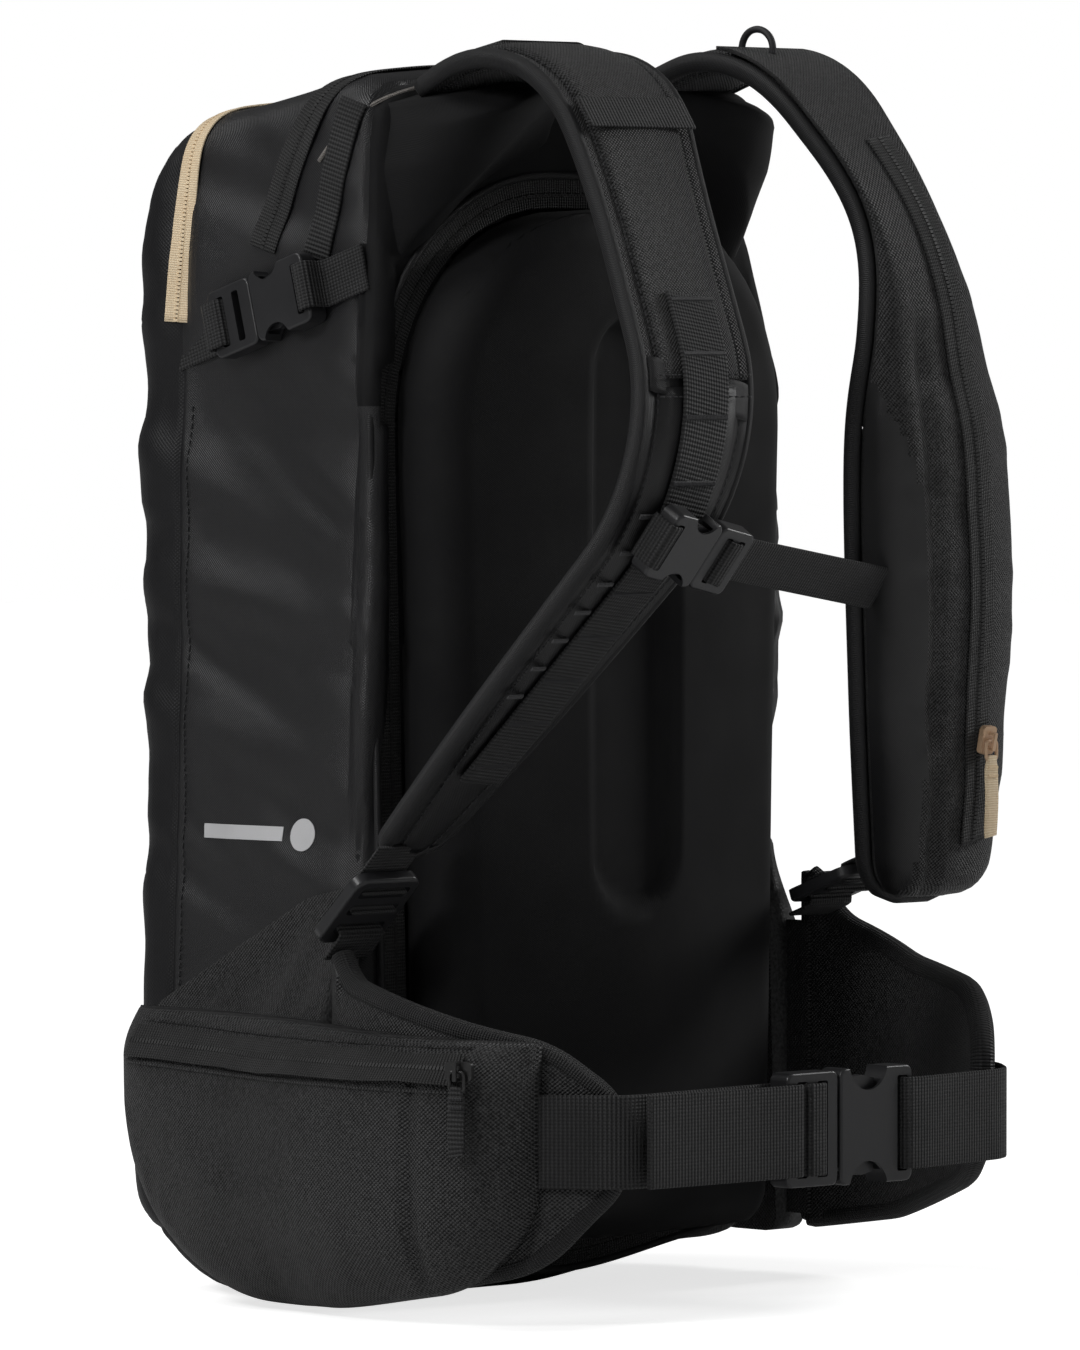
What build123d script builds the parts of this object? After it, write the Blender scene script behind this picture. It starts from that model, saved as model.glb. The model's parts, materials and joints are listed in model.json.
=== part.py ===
"""Ski touring backpack of about 25 litres, in millimetres.

The origin is the middle of the flat base. +Z is up, -Y is the harness side that lies on the
wearer's back, +X is the wearer's left. Names ending in _l and _r are the wearer's left and right.
"""

from build123d import *
from math import cos, radians, sin
import os

os.makedirs("parts", exist_ok=True)

# ---- driving dimensions -------------------------------------------------------------------
BAG_HALF_WIDTH = 127.0  # at the base; the sides lean in towards the top
SIDE_LEAN = 0.035  # how far a side leans in for each millimetre of height
BACK_Y = -70.0  # harness face of the bag
FRONT_Y = 70.0
BACK_TOP_Z = 518.0
FRONT_TOP_Z = 490.0
EDGE_ROUND = 18.0
PROFILE_ROUND = [20, 24, 38, 34]  # side view corners: back low, back top, front top, front low
CLOTH = 3.0  # laminated fabric with its lining

FRONT_SEAM_Y = 44.0
BASE_SEAM_Z = 26.0
TOP_SEAM_Z = 455.0
YOKE_SEAM_Y = -50.0
YOKE_SEAM_Z = 372.0

DOOR_BOTTOM_Z = 24.0  # padded back panel, which zips open as a door
DOOR_TOP_Z = 452.0
DOOR_BOTTOM_HALF = 94.0
DOOR_TOP_HALF = 106.0
DOOR_GAP = 1.0
DOOR_CROWN_Y = -108.0
DOOR_CROWN_RADIUS = 290.0
DOOR_EDGE_ROUND = 7.0
CHANNEL_WIDTH = 50.0  # recess over the wearer's spine
CHANNEL_FLOOR_Y = -103.0
DOOR_PAD_WALL = 5.0
FOAM_BACK_Y = -79.8
SHEET_BACK_Y = -71.6

WEBBING = 1.6  # thickness of every webbing
BELT_WIDTH = 38.0
LIGHT_WIDTH = 20.0  # sternum and compression webbing
STRAP_PAD = 14.0
SLEEVE_DEPTH = 22.0

BELT_Z = 76.0
BELT_Y = -219.0  # middle of the hip buckle's thickness
WING_CENTRE = (-18.4, -123.0)  # plan centre of the wing's arc, wearer's right side
WING_INNER = 123.0
WING_OUTER = 137.0
POCKET_OUTER = 157.0
WING_ROOT_Y = -72.0

SIDE_NORMAL = Vector(1, 0, SIDE_LEAN).normalized()


def save(builder, name):
    """Labels a finished piece and writes its STEP file."""
    builder.part.label = name
    export_step(builder.part, f"parts/{name}.step")


def mirrored(builder):
    """The same piece for the wearer's other side."""
    with BuildPart() as other:
        add(mirror(builder.part, about=Plane.YZ, mode=Mode.PRIVATE))
    return other


def save_group(name, *builders):
    """Writes several alike pieces of one body as one named piece."""
    with BuildPart() as group:
        for builder in builders:
            add(builder.part)
    save(group, name)


def half_space(point, outward):
    """A plane whose bottom side is kept by split(keep=Keep.BOTTOM)."""
    return Plane(origin=point, z_dir=outward)


def strip(plane, points, radii, width, thickness=WEBBING):
    """Webbing that follows a filleted path drawn on a plane, width mm wide across that plane."""
    with BuildPart() as webbing:
        with BuildSketch(plane):
            with BuildLine():
                FilletPolyline(*points, radius=radii)
            trace(line_width=thickness)
        extrude(amount=width / 2, both=True)
    return webbing


# ---- the bag ------------------------------------------------------------------------------
def bag_form(skin):
    """The bag's outer form, grown by skin or shrunk where skin is negative."""
    with BuildPart() as form:
        with BuildSketch(Plane.YZ):
            with BuildLine():
                FilletPolyline(
                    (BACK_Y, 0), (BACK_Y, BACK_TOP_Z), (FRONT_Y, FRONT_TOP_Z), (FRONT_Y, 0),
                    radius=PROFILE_ROUND, close=True,
                )
            make_face()
            offset(amount=skin)
        extrude(amount=BAG_HALF_WIDTH + 20, both=True)
        for side in (1, -1):
            face_point = (side * (BAG_HALF_WIDTH + skin), 0, 0)
            split(bisect_by=half_space(face_point, (side, 0, SIDE_LEAN)), keep=Keep.BOTTOM)
        rims = [faces().sort_by(Axis.X)[i].edges() for i in (0, -1)]
        fillet([*rims[0], *rims[1]], radius=EDGE_ROUND + skin)
    return form.part


def at_y(y):
    """The XZ plane moved to y, facing the wearer."""
    return Plane.XZ.offset(-y)


def door_block(grow, y_from, y_to):
    """The arched outline of the back panel door, grown, from one depth to another."""
    with BuildPart() as block:
        with BuildSketch(at_y(y_from)):
            with BuildLine():
                FilletPolyline(
                    (-DOOR_BOTTOM_HALF, DOOR_BOTTOM_Z), (DOOR_BOTTOM_HALF, DOOR_BOTTOM_Z),
                    (DOOR_TOP_HALF, DOOR_TOP_Z), (-DOOR_TOP_HALF, DOOR_TOP_Z),
                    radius=[16, 16, 88, 88], close=True,
                )
            make_face()
            if grow:
                offset(amount=grow)
        extrude(amount=y_from - y_to)
    return block.part


bag_outer = bag_form(0)
with BuildPart() as bag_shell:
    add(bag_outer)
    add(bag_form(-CLOTH), mode=Mode.SUBTRACT)
    add(door_block(DOOR_GAP, BACK_Y + 15, BACK_Y - 15), mode=Mode.SUBTRACT)


def bag_panel(*cuts):
    """One sewn panel of the shell: each cut is (point, outward) and the inner side is kept."""
    with BuildPart() as panel:
        add(bag_shell.part)
        for point, outward in cuts:
            split(bisect_by=half_space(point, outward), keep=Keep.BOTTOM)
    return panel


behind_front_seam = ((0, FRONT_SEAM_Y, 0), (0, 1, 0))
front_panel = bag_panel(((0, FRONT_SEAM_Y, 0), (0, -1, 0)))
base_panel = bag_panel(behind_front_seam, ((0, 0, BASE_SEAM_Z), (0, 0, 1)))
top_panel = bag_panel(
    behind_front_seam, ((0, 0, TOP_SEAM_Z), (0, 0, -1)), ((0, YOKE_SEAM_Y, 0), (0, -1, 0))
)
yoke_panel = bag_panel(((0, YOKE_SEAM_Y, 0), (0, 1, 0)), ((0, 0, YOKE_SEAM_Z), (0, 0, -1)))
with BuildPart() as side_panel_l:
    add(bag_panel(behind_front_seam, ((0, 0, BASE_SEAM_Z), (0, 0, -1)), ((0, 0, 0), (-1, 0, 0))).part)
    add(top_panel.part, mode=Mode.SUBTRACT)
    add(yoke_panel.part, mode=Mode.SUBTRACT)
side_panel_r = mirrored(side_panel_l)

save(front_panel, "front_panel")
save(base_panel, "base_panel")
save(top_panel, "top_panel")
save(yoke_panel, "yoke_panel")
save(side_panel_l, "side_panel_l")
save(side_panel_r, "side_panel_r")

# ---- zips on the bag ----------------------------------------------------------------------
ZIP_TAPE = 1.6
with BuildPart() as back_zip_tape:
    add(door_block(14, BACK_Y, BACK_Y - ZIP_TAPE))
    add(door_block(DOOR_GAP, BACK_Y, BACK_Y - ZIP_TAPE), mode=Mode.SUBTRACT)
save(back_zip_tape, "back_zip_tape")

zip_skin = bag_form(ZIP_TAPE)


def wrap_over(low_point, direction_yz, width, end_z):
    """A zip tape that climbs one side, crosses the top and comes down the other side."""
    along = Vector(0, *direction_yz).normalized()
    across = Vector(0, -along.Z, along.Y)
    with BuildPart() as tape:
        add(zip_skin)
        add(bag_outer, mode=Mode.SUBTRACT)
        for sign in (1, -1):
            edge = Vector(0, *low_point) + across * (sign * width / 2)
            split(bisect_by=half_space(edge, across * sign), keep=Keep.BOTTOM)
        split(bisect_by=half_space((0, 0, end_z), (0, 0, -1)), keep=Keep.BOTTOM)
    return tape


FRONT_ZIP_LOW = (51.0, 398.0)  # where the front zip ends on the side, as (y, z)
FRONT_ZIP_RUN = (-0.36, 0.933)
GOGGLE_ZIP_LOW = (2.0, 440.0)
GOGGLE_ZIP_RUN = (-0.40, 0.917)
front_zip_tape = wrap_over(FRONT_ZIP_LOW, FRONT_ZIP_RUN, 15, FRONT_ZIP_LOW[1])
goggle_zip_tape = wrap_over(GOGGLE_ZIP_LOW, GOGGLE_ZIP_RUN, 15, GOGGLE_ZIP_LOW[1])
save(front_zip_tape, "front_zip_tape")
save(goggle_zip_tape, "goggle_zip_tape")

# ---- back panel door: cover, foam, frame sheet and stay -----------------------------------
with BuildPart() as door_cover:
    add(door_block(0, BACK_Y, BACK_Y - 50))
    with Locations((0, DOOR_CROWN_Y + DOOR_CROWN_RADIUS, (DOOR_BOTTOM_Z + DOOR_TOP_Z) / 2)):
        Cylinder(DOOR_CROWN_RADIUS, DOOR_TOP_Z, mode=Mode.INTERSECT)
    fillet(door_cover.faces().sort_by(Axis.Y)[0].edges(), radius=DOOR_EDGE_ROUND)
    add(door_block(-DOOR_PAD_WALL, BACK_Y, FOAM_BACK_Y), mode=Mode.SUBTRACT)
    with BuildSketch(at_y(CHANNEL_FLOOR_Y)):
        with Locations((0, 285)):
            SlotOverall(250, CHANNEL_WIDTH, rotation=90)
    extrude(amount=10, mode=Mode.SUBTRACT)
save(door_cover, "back_panel_cover")

with BuildPart() as back_foam:
    add(door_block(-DOOR_PAD_WALL - 0.5, SHEET_BACK_Y, FOAM_BACK_Y))
save(back_foam, "back_foam")

with BuildPart() as frame_sheet:
    add(door_block(-DOOR_PAD_WALL - 1.5, BACK_Y, SHEET_BACK_Y))
save(frame_sheet, "frame_sheet")

with BuildPart() as frame_stay:
    with BuildSketch(at_y(BACK_Y + 3)):
        with Locations((0, 240)):
            SlotOverall(360, 13, rotation=90)
    extrude(amount=3)
save(frame_stay, "frame_stay")

# ---- shoulder straps ----------------------------------------------------------------------
STRAP_ROOT = (BACK_Y - 2, 502.0)
STRAP_PATH_R = [STRAP_ROOT, (BACK_Y - 60, 535), (BACK_Y - 172, 350), (BACK_Y - 26, 190)]
STRAP_PATH_L = [STRAP_ROOT, (BACK_Y - 80, 532), (BACK_Y - 136, 438), (BACK_Y - 84, 172)]
STRAP_BENDS_R = [60, 75]
STRAP_BENDS_L = [60, 110]
# front view of a strap as (height, distance of its middle from the centre line, half width)
STRAP_OUTLINE_R = [(560, 52, 40), (505, 56, 38), (450, 66, 33), (350, 90, 33), (250, 111, 27), (180, 126, 16)]
STRAP_OUTLINE_L = [(560, 53, 36), (505, 56, 34), (450, 67, 29), (350, 85, 38), (250, 105, 38), (172, 118, 29)]


def strap_layer(path, bends, inner, outer):
    """The space between two distances outside a strap's middle line, 340 mm wide about x = 0."""
    with BuildPart() as layer:
        with BuildSketch(Plane.YZ):
            with BuildLine():
                FilletPolyline(*path, radius=bends)
            trace(line_width=2 * outer)
        extrude(amount=170, both=True)
        if inner is not None:
            with BuildSketch(Plane.YZ):
                with BuildLine():
                    FilletPolyline(*path, radius=bends)
                trace(line_width=2 * inner)
            extrude(amount=170, both=True, mode=Mode.SUBTRACT)
    if inner is None:
        return layer.part
    return layer.part.solids().sort_by(Axis.Y)[0]


def outline_prism(outline, side, end_round, shrink=0.0, top=600.0, bottom=-10.0):
    """The front view of a strap, side is 1 for the wearer's left, pushed through the whole depth."""
    inner = [(side * (middle - half + shrink), z) for z, middle, half in outline]
    outer = [(side * (middle + half - shrink), z) for z, middle, half in outline]
    with BuildPart() as prism:
        with BuildSketch(Plane.XZ):
            with BuildLine():
                Spline(*inner)
                Line(inner[-1], outer[-1])
                Spline(*outer)
                Line(inner[0], outer[0])
            make_face()
        extrude(amount=400, both=True)
        split(bisect_by=half_space((0, 0, top), (0, 0, 1)), keep=Keep.BOTTOM)
        split(bisect_by=half_space((0, 0, bottom), (0, 0, -1)), keep=Keep.BOTTOM)
        if end_round:
            fillet(edges().filter_by(Axis.Y).sort_by(Axis.Z)[:2], radius=end_round)
    return prism.part


def strap_frame(path, bends, fraction, x, lift):
    """A plane on a strap: local x is +X, y runs up the strap, z faces away from the wearer."""
    with BuildLine(Plane.YZ) as middle:
        FilletPolyline(*path, radius=bends)
    point = middle.line @ fraction
    outward = (middle.line % fraction).cross(Vector(1, 0, 0))
    return Plane(origin=Vector(x, point.Y, point.Z) + outward * lift, x_dir=(1, 0, 0), z_dir=outward)


half_pad = STRAP_PAD / 2
with BuildPart() as strap_r:
    add(strap_layer(STRAP_PATH_R, STRAP_BENDS_R, None, half_pad))
    add(outline_prism(STRAP_OUTLINE_R, -1, 8), mode=Mode.INTERSECT)
save(strap_r, "shoulder_strap_r")

with BuildPart() as strap_l:
    add(strap_layer(STRAP_PATH_L, STRAP_BENDS_L, None, half_pad))
    add(outline_prism(STRAP_OUTLINE_L, 1, 18), mode=Mode.INTERSECT)
save(strap_l, "shoulder_strap_l")

with BuildPart() as tube_sleeve:
    add(strap_layer(STRAP_PATH_L, STRAP_BENDS_L, half_pad, half_pad + SLEEVE_DEPTH))
    add(outline_prism(STRAP_OUTLINE_L, 1, 18, shrink=4, top=480), mode=Mode.INTERSECT)
save(tube_sleeve, "tube_sleeve_l")

sleeve_face = half_pad + SLEEVE_DEPTH
SLEEVE_ZIP_OFFSET = 7.0
narrow_l = [(z, middle + SLEEVE_ZIP_OFFSET, 7) for z, middle, _ in STRAP_OUTLINE_L]
with BuildPart() as sleeve_zip:
    add(strap_layer(STRAP_PATH_L, STRAP_BENDS_L, sleeve_face, sleeve_face + ZIP_TAPE))
    add(outline_prism(narrow_l, 1, 0, top=478, bottom=190), mode=Mode.INTERSECT)
save(sleeve_zip, "sleeve_zip_tape_l")

narrow_r = [(z, middle, 12.5) for z, middle, _ in STRAP_OUTLINE_R]
with BuildPart() as daisy:
    add(strap_layer(STRAP_PATH_R, STRAP_BENDS_R, half_pad, half_pad + WEBBING))
    add(outline_prism(narrow_r, -1, 0, top=412, bottom=222), mode=Mode.INTERSECT)


# ---- buckles ------------------------------------------------------------------------------
def buckle_male(width, base, slots):
    """Base of a side release buckle's male half, behind x = 0, with slots for the webbing."""
    thick = 0.13 * width + 5
    with BuildPart() as male:
        with BuildSketch(Plane.XY.offset(-thick / 2)):
            with Locations((-base / 2, 0)):
                RectangleRounded(base, width + 9, 3.5)
            with Locations(*[(x, 0) for x in slots]):
                RectangleRounded(0.12 * width + 1.6, width + 1.5, 1.0, mode=Mode.SUBTRACT)
        extrude(amount=thick)
        fillet(male.faces().sort_by(Axis.Z)[-1].outer_wire().edges(), radius=1.2)
    return male.part


PRONG_START = 0.9  # gap between the male base and the roots of its prongs


def buckle_reach(width):
    """How far the prongs go into the female half."""
    return 0.42 * width + 8


def buckle_prong(width, side):
    """One springy prong of the male half, side is 1 for the +Y one."""
    reach = buckle_reach(width)
    root_y = 0.36 * width
    head_y = 0.5 * width + 1.6
    thick = 0.05 * width + 2.2
    with BuildPart() as prong:
        with BuildSketch(Plane.XY.offset(-thick / 2)):
            with BuildLine():
                Polyline(
                    (PRONG_START, side * (root_y - 2)), (0.55 * reach, side * root_y), (reach, side * (head_y - 5)),
                    (reach, side * (head_y - 1.5)), (0.72 * reach, side * head_y),
                    (0.45 * reach, side * (head_y - 0.4)), (PRONG_START, side * (root_y + 2.4)), close=True,
                )
            make_face()
        extrude(amount=thick)
    return prong.part


def buckle_female(width, length, slot):
    """Sleeve half ahead of x = 0, with scalloped side windows and one webbing slot."""
    thick = 0.13 * width + 6.6
    cavity = 0.09 * width + 5.0
    reach = buckle_reach(width)
    with BuildPart() as female:
        with BuildSketch(Plane.XY.offset(-thick / 2)):
            with Locations((0.6 + length / 2, 0)):
                RectangleRounded(length, width + 10, 3.5)
            with Locations((slot, 0)):
                RectangleRounded(0.12 * width + 1.6, width + 1.5, 1.0, mode=Mode.SUBTRACT)
        extrude(amount=thick)
        fillet(female.faces().sort_by(Axis.Z)[-1].outer_wire().edges(), radius=1.2)
        with Locations(((reach + 2) / 2, 0, 0)):
            Box(reach + 2, width + 5, cavity, mode=Mode.SUBTRACT)
        with BuildSketch(Plane.XY.offset(-thick)):
            with Locations(*[(0.72 * reach, side * (0.5 * width + 7)) for side in (1, -1)]):
                Circle(0.22 * width + 3)
        extrude(amount=2 * thick, mode=Mode.SUBTRACT)
    return female.part


def place(plane, shape):
    """A new builder that holds a piece drawn about the origin, moved onto a plane."""
    with BuildPart() as placed:
        add(plane.location * shape)
    return placed


def edge_on(plane):
    """The side view of a plane: x stays, y becomes the old plane's outward direction."""
    return Plane(origin=plane.origin, x_dir=plane.x_dir, z_dir=-plane.y_dir)


def save_prongs(plane, width, prefix):
    """Writes the two prongs of a buckle whose mouth is at the plane's origin."""
    save(place(plane, buckle_prong(width, 1)), f"{prefix}_prong_a")
    save(place(plane, buckle_prong(width, -1)), f"{prefix}_prong_b")


# hip buckle: local x runs along the belt to the wearer's left, local z faces away from the wearer
hip_plane = Plane(origin=(0, BELT_Y, BELT_Z), x_dir=(1, 0, 0), z_dir=(0, -1, 0))
save(place(hip_plane, buckle_male(BELT_WIDTH, 30, (-9.5, -21.5))), "hip_buckle_male")
save_prongs(hip_plane, BELT_WIDTH, "hip")
save(place(hip_plane, buckle_female(BELT_WIDTH, 43, 37.5)), "hip_buckle_female")

# belt webbing, drawn in plan; it wraps the bars of the buckle
belt_plan = Plane.XY.offset(BELT_Z)
belt_r = strip(
    belt_plan,
    [(-142, -187), (-120, -219.4), (-36, -212.2), (-20, -212.2), (-20, -226.2), (-9.5, -226.2), (-9.5, -216)],
    [22, 6, 1.6, 1.6, 1.6],
    BELT_WIDTH,
)
belt_tail = strip(
    belt_plan, [(-23.2, -216), (-23.2, -226.4), (-60, -225.8), (-112, -224.6)], [1.6, 60], BELT_WIDTH
)
belt_l = strip(
    belt_plan,
    [(142, -187), (122, -221), (48, -227.4), (37.5, -227.4), (37.5, -215)],
    [22, 60, 1.6],
    BELT_WIDTH,
)
save_group("belt_webbing_r", belt_r, belt_tail)
save(belt_l, "belt_webbing_l")

# ---- hip wings, fins and pocket -----------------------------------------------------------
# side view of the free part of a wing, as it leaves the bag and rounds off at the tip
WING_SIDE = [(WING_ROOT_Y, 10), (WING_ROOT_Y, 132), (-130, 122), (-190, 110), (-212.5, 90), (-212.5, 58),
             (-186, 24), (-120, 10)]
WING_SIDE_BENDS = [4, 3, 60, 40, 22, 22, 40, 60]


def wing_ring(inner, outer):
    """A curved wall about the wing's plan centre, on the wearer's right."""
    with BuildPart() as ring:
        with BuildSketch():
            with Locations(WING_CENTRE):
                Circle(outer)
                Circle(inner, mode=Mode.SUBTRACT)
            with Locations((WING_CENTRE[0] + 100, WING_CENTRE[1])):
                Rectangle(200, 400, mode=Mode.SUBTRACT)
        extrude(amount=200)
    return ring.part


def side_prism(points, bends, x_from, x_to):
    """A side view, as (y, z) points, pushed from one x to another."""
    with BuildPart() as prism:
        with BuildSketch(Plane.YZ.offset(x_from)):
            with BuildLine():
                FilletPolyline(*points, radius=bends, close=True)
            make_face()
        extrude(amount=x_to - x_from)
    return prism.part


with BuildPart() as wing_r:
    add(wing_ring(WING_INNER, WING_OUTER))
    add(side_prism(WING_SIDE, WING_SIDE_BENDS, -200, -60), mode=Mode.INTERSECT)
wing_l = mirrored(wing_r)
save(wing_r, "hip_wing_r")
save(wing_l, "hip_wing_l")

POCKET_SIDE = [(WING_ROOT_Y, 1), (WING_ROOT_Y, 120), (-185, 112), (-185, 40), (-128, 6)]
with BuildPart() as pocket_r:
    add(wing_ring(WING_OUTER, POCKET_OUTER))
    add(side_prism(POCKET_SIDE, [6, 6, 18, 26, 40], -200, -60), mode=Mode.INTERSECT)
save(pocket_r, "hip_pocket_r")

POCKET_ZIP_Z = 105.0
with BuildPart() as pocket_zip:
    add(wing_ring(POCKET_OUTER, POCKET_OUTER + ZIP_TAPE))
    with Locations((-120, (WING_ROOT_Y - 181) / 2, POCKET_ZIP_Z)):
        Box(200, 181 + WING_ROOT_Y, 15, mode=Mode.INTERSECT)
save(pocket_zip, "pocket_zip_tape_r")

# the fin is the wing's fixed rear half, sewn to the side of the bag
FIN_ROOT_Y = -68.0
FIN_FACE_X = -145.5
FIN_SIDE = [(FIN_ROOT_Y, 1), (FIN_ROOT_Y, 174), (-40, 168), (52, 119), (52, 52), (4, 1)]
with BuildPart() as fin_r:
    add(side_prism(FIN_SIDE, [6, 6, 40, 12, 40, 34], FIN_FACE_X, -90))
    fillet(fin_r.faces().sort_by(Axis.X)[0].edges(), radius=5)
    add(bag_outer, mode=Mode.SUBTRACT)
fin_l = mirrored(fin_r)
save_group("hip_fins", fin_r, fin_l)

REAR_POCKET_X = -168.0
REAR_POCKET_SIDE = [(FIN_ROOT_Y, 1), (FIN_ROOT_Y, 120), (44, 114), (44, 1)]
with BuildPart() as pocket_rear:
    add(side_prism(REAR_POCKET_SIDE, [4, 4, 22, 64], REAR_POCKET_X, FIN_FACE_X - 0.3))
    rounded_rim = pocket_rear.faces().sort_by(Axis.X)[0].edges().sort_by(Axis.Y)[-2:]
    fillet(rounded_rim, radius=12)
save(pocket_rear, "hip_pocket_rear_r")

gear_loop = strip(
    Plane.XY.offset(84), [(155.4, -97), (171, -103), (171, -145), (154.8, -151)], [8, 8], LIGHT_WIDTH
)
save(gear_loop, "gear_loop_l")


# ---- ladder locks at the lower ends of the shoulder straps --------------------------------
def ladder_lock():
    """Three-bar adjuster for 25 mm webbing; local x across the webbing, local y up the strap."""
    with BuildPart() as lock:
        with BuildSketch(Plane.XY.offset(-2.5)):
            RectangleRounded(36, 38, 6)
            with Locations((0, 11.5), (0, 1.5), (0, -9.5)):
                RectangleRounded(27, 6, 1.5, mode=Mode.SUBTRACT)
        extrude(amount=5)
        fillet(lock.faces().sort_by(Axis.Z)[-1].outer_wire().edges(), radius=1.5)
    return lock.part


LOCK_WIDTH = 25.0
LOCK_R = (-133.0, BACK_Y - 14, 166.0)
LOCK_L = (120.0, BACK_Y - 44, 168.0)
lock_plane_r = Plane(origin=LOCK_R, x_dir=(1, 0, 0), z_dir=(0, -0.70, -0.71))
lock_plane_l = Plane(origin=LOCK_L, x_dir=(1, 0, 0), z_dir=(0, -0.34, -0.94))
strap_ends = []
for side, lock_plane in (("r", lock_plane_r), ("l", lock_plane_l)):
    save(place(lock_plane, ladder_lock()), f"ladder_lock_{side}")
    lower = strip(
        Plane(origin=lock_plane.origin, x_dir=lock_plane.y_dir, z_dir=lock_plane.x_dir),
        [(1.5, 4.5), (1.5, -4.6), (-9.5, -4.6), (-9.5, 6.0), (-24, 6.0)], [1.2, 1.2, 2], LOCK_WIDTH,
    )
    save(lower, f"adjuster_webbing_{side}")
    upper = strip(
        Plane(origin=lock_plane.origin, x_dir=lock_plane.y_dir, z_dir=lock_plane.x_dir),
        [(11.5, 3.0), (11.5, -4.4), (22, -4.4)], [1.4], LOCK_WIDTH,
    )
    strap_ends.append(upper)
save_group("harness_webbing", daisy, *strap_ends)

# ---- sternum strap ------------------------------------------------------------------------
STERNUM_FRACTION = 0.62  # how far down the right strap the sternum strap crosses
STERNUM_END = Vector(50.5, BACK_Y - 122, 298)  # where its webbing meets the left strap
rail = strap_frame(STRAP_PATH_R, STRAP_BENDS_R, STERNUM_FRACTION, -82, half_pad + WEBBING + 5.4)
across_chest = rail.origin - STERNUM_END
end_depth = across_chest.dot(rail.z_dir)
sternum_run = across_chest - rail.z_dir * end_depth
sternum_plane = Plane(origin=rail.origin, x_dir=sternum_run, z_dir=rail.z_dir)
save(place(sternum_plane, buckle_female(LIGHT_WIDTH, 30, 26)), "sternum_buckle_female")
save(place(sternum_plane, buckle_male(LIGHT_WIDTH, 22, (-7.5, -15.5))), "sternum_buckle_male")
save_prongs(sternum_plane, LIGHT_WIDTH, "sternum")
sternum_webbing = strip(
    edge_on(sternum_plane),
    [(-sternum_run.length, -end_depth), (-30, -5.2), (-15.5, -5.2), (-15.5, 5.2), (-7.5, 5.2), (-7.5, -2.5)],
    [12, 1.4, 1.4, 1.4], LIGHT_WIDTH,
)
sternum_anchor = strip(
    edge_on(sternum_plane), [(26, -3), (26, 5.8), (33, 5.8), (33, -4.8)], [1.4, 1.4], LIGHT_WIDTH
)
save_group("sternum_webbing", sternum_webbing, sternum_anchor)


# ---- compression straps -------------------------------------------------------------------
COMPRESSION_MOUTH = (-5.0, 411.0)  # (y, z) of the buckle's mouth on the side of the bag
COMPRESSION_RUN = Vector(0, -0.957, 0.29)
compression_lift = 6.4
face_x = -(BAG_HALF_WIDTH - SIDE_LEAN * COMPRESSION_MOUTH[1])
outward_r = Vector(-SIDE_NORMAL.X, 0, SIDE_NORMAL.Z)
compression_plane = Plane(
    origin=Vector(face_x, *COMPRESSION_MOUTH) + outward_r * compression_lift,
    x_dir=COMPRESSION_RUN - outward_r * COMPRESSION_RUN.dot(outward_r), z_dir=outward_r,
)
compression_female = place(compression_plane, buckle_female(LIGHT_WIDTH, 33, 28.5))
compression_male = place(compression_plane, buckle_male(LIGHT_WIDTH, 26, (-9, -18.5)))
compression_rear = strip(
    edge_on(compression_plane), [(61, -4.2), (36, -4.2), (36, 6.2), (28.5, 6.2), (28.5, -3.2)],
    [2, 1.4, 1.4], LIGHT_WIDTH,
)
compression_front = strip(
    edge_on(compression_plane), [(-58, -3.9), (-28.4, -3.9), (-28.4, 5.4), (-18.5, 5.4), (-18.5, -3)],
    [2, 1.4, 1.4], LIGHT_WIDTH,
)
save_group("compression_females", compression_female, mirrored(compression_female))
save_group("compression_males", compression_male, mirrored(compression_male))
for side, name in ((1, "a"), (-1, "b")):
    prong = place(compression_plane, buckle_prong(LIGHT_WIDTH, side))
    save(prong, f"compression_r_prong_{name}")
    save(mirrored(prong), f"compression_l_prong_{name}")


# ---- zip sliders and their pulls ----------------------------------------------------------
SLIDER_HINGE = 4.2  # height of the pull's cross bar above the tape


def zip_slider(plate):
    """Slider on a tape whose face is z = 0; a bridge along local y holds the pull."""
    with BuildPart() as slider:
        with Locations((0, 0, 1.6)):
            Box(*plate, 2.6)
        fillet(slider.edges().filter_by(Axis.Z), radius=2)
        with Locations((0, 0, 4.7)):
            Box(1.6, 7.6, 3.8)
        with Locations((0, 0, 4.25)):
            Box(3, 5.2, 2.7, mode=Mode.SUBTRACT)
    return slider.part


def zip_pull(length):
    """Pull hanging down -y from a cross bar on the x axis."""
    with BuildPart() as pull:
        with BuildSketch(Plane.XY.offset(-0.7)):
            with Locations((0, 0.7 - length / 2)):
                RectangleRounded(7.6, length, 0.6)
            with Locations((0, -4.1)):
                RectangleRounded(4.4, 6.8, 0.5, mode=Mode.SUBTRACT)
        extrude(amount=1.4)
    return pull.part


def save_zip(name, plane, pull_length, plate=(8, 12)):
    """Writes a slider on its tape and a pull that hangs straight down from its bridge."""
    save(place(plane, zip_slider(plate)), f"{name}_slider")
    across = Vector(plane.x_dir.X, plane.x_dir.Y, 0).normalized()
    bar = plane.origin + plane.z_dir * SLIDER_HINGE
    hang = Plane(origin=bar, x_dir=across, z_dir=across.cross(Vector(0, 0, 1)))
    save(place(hang, zip_pull(pull_length)), f"{name}_pull")


SLEEVE_SLIDER_FRACTION = 0.85
SLEEVE_SLIDER_X = 117.5
sleeve_slider_plane = strap_frame(
    STRAP_PATH_L, STRAP_BENDS_L, SLEEVE_SLIDER_FRACTION, SLEEVE_SLIDER_X, sleeve_face + ZIP_TAPE
)
save_zip("sleeve_zip", sleeve_slider_plane, 40)

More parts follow.
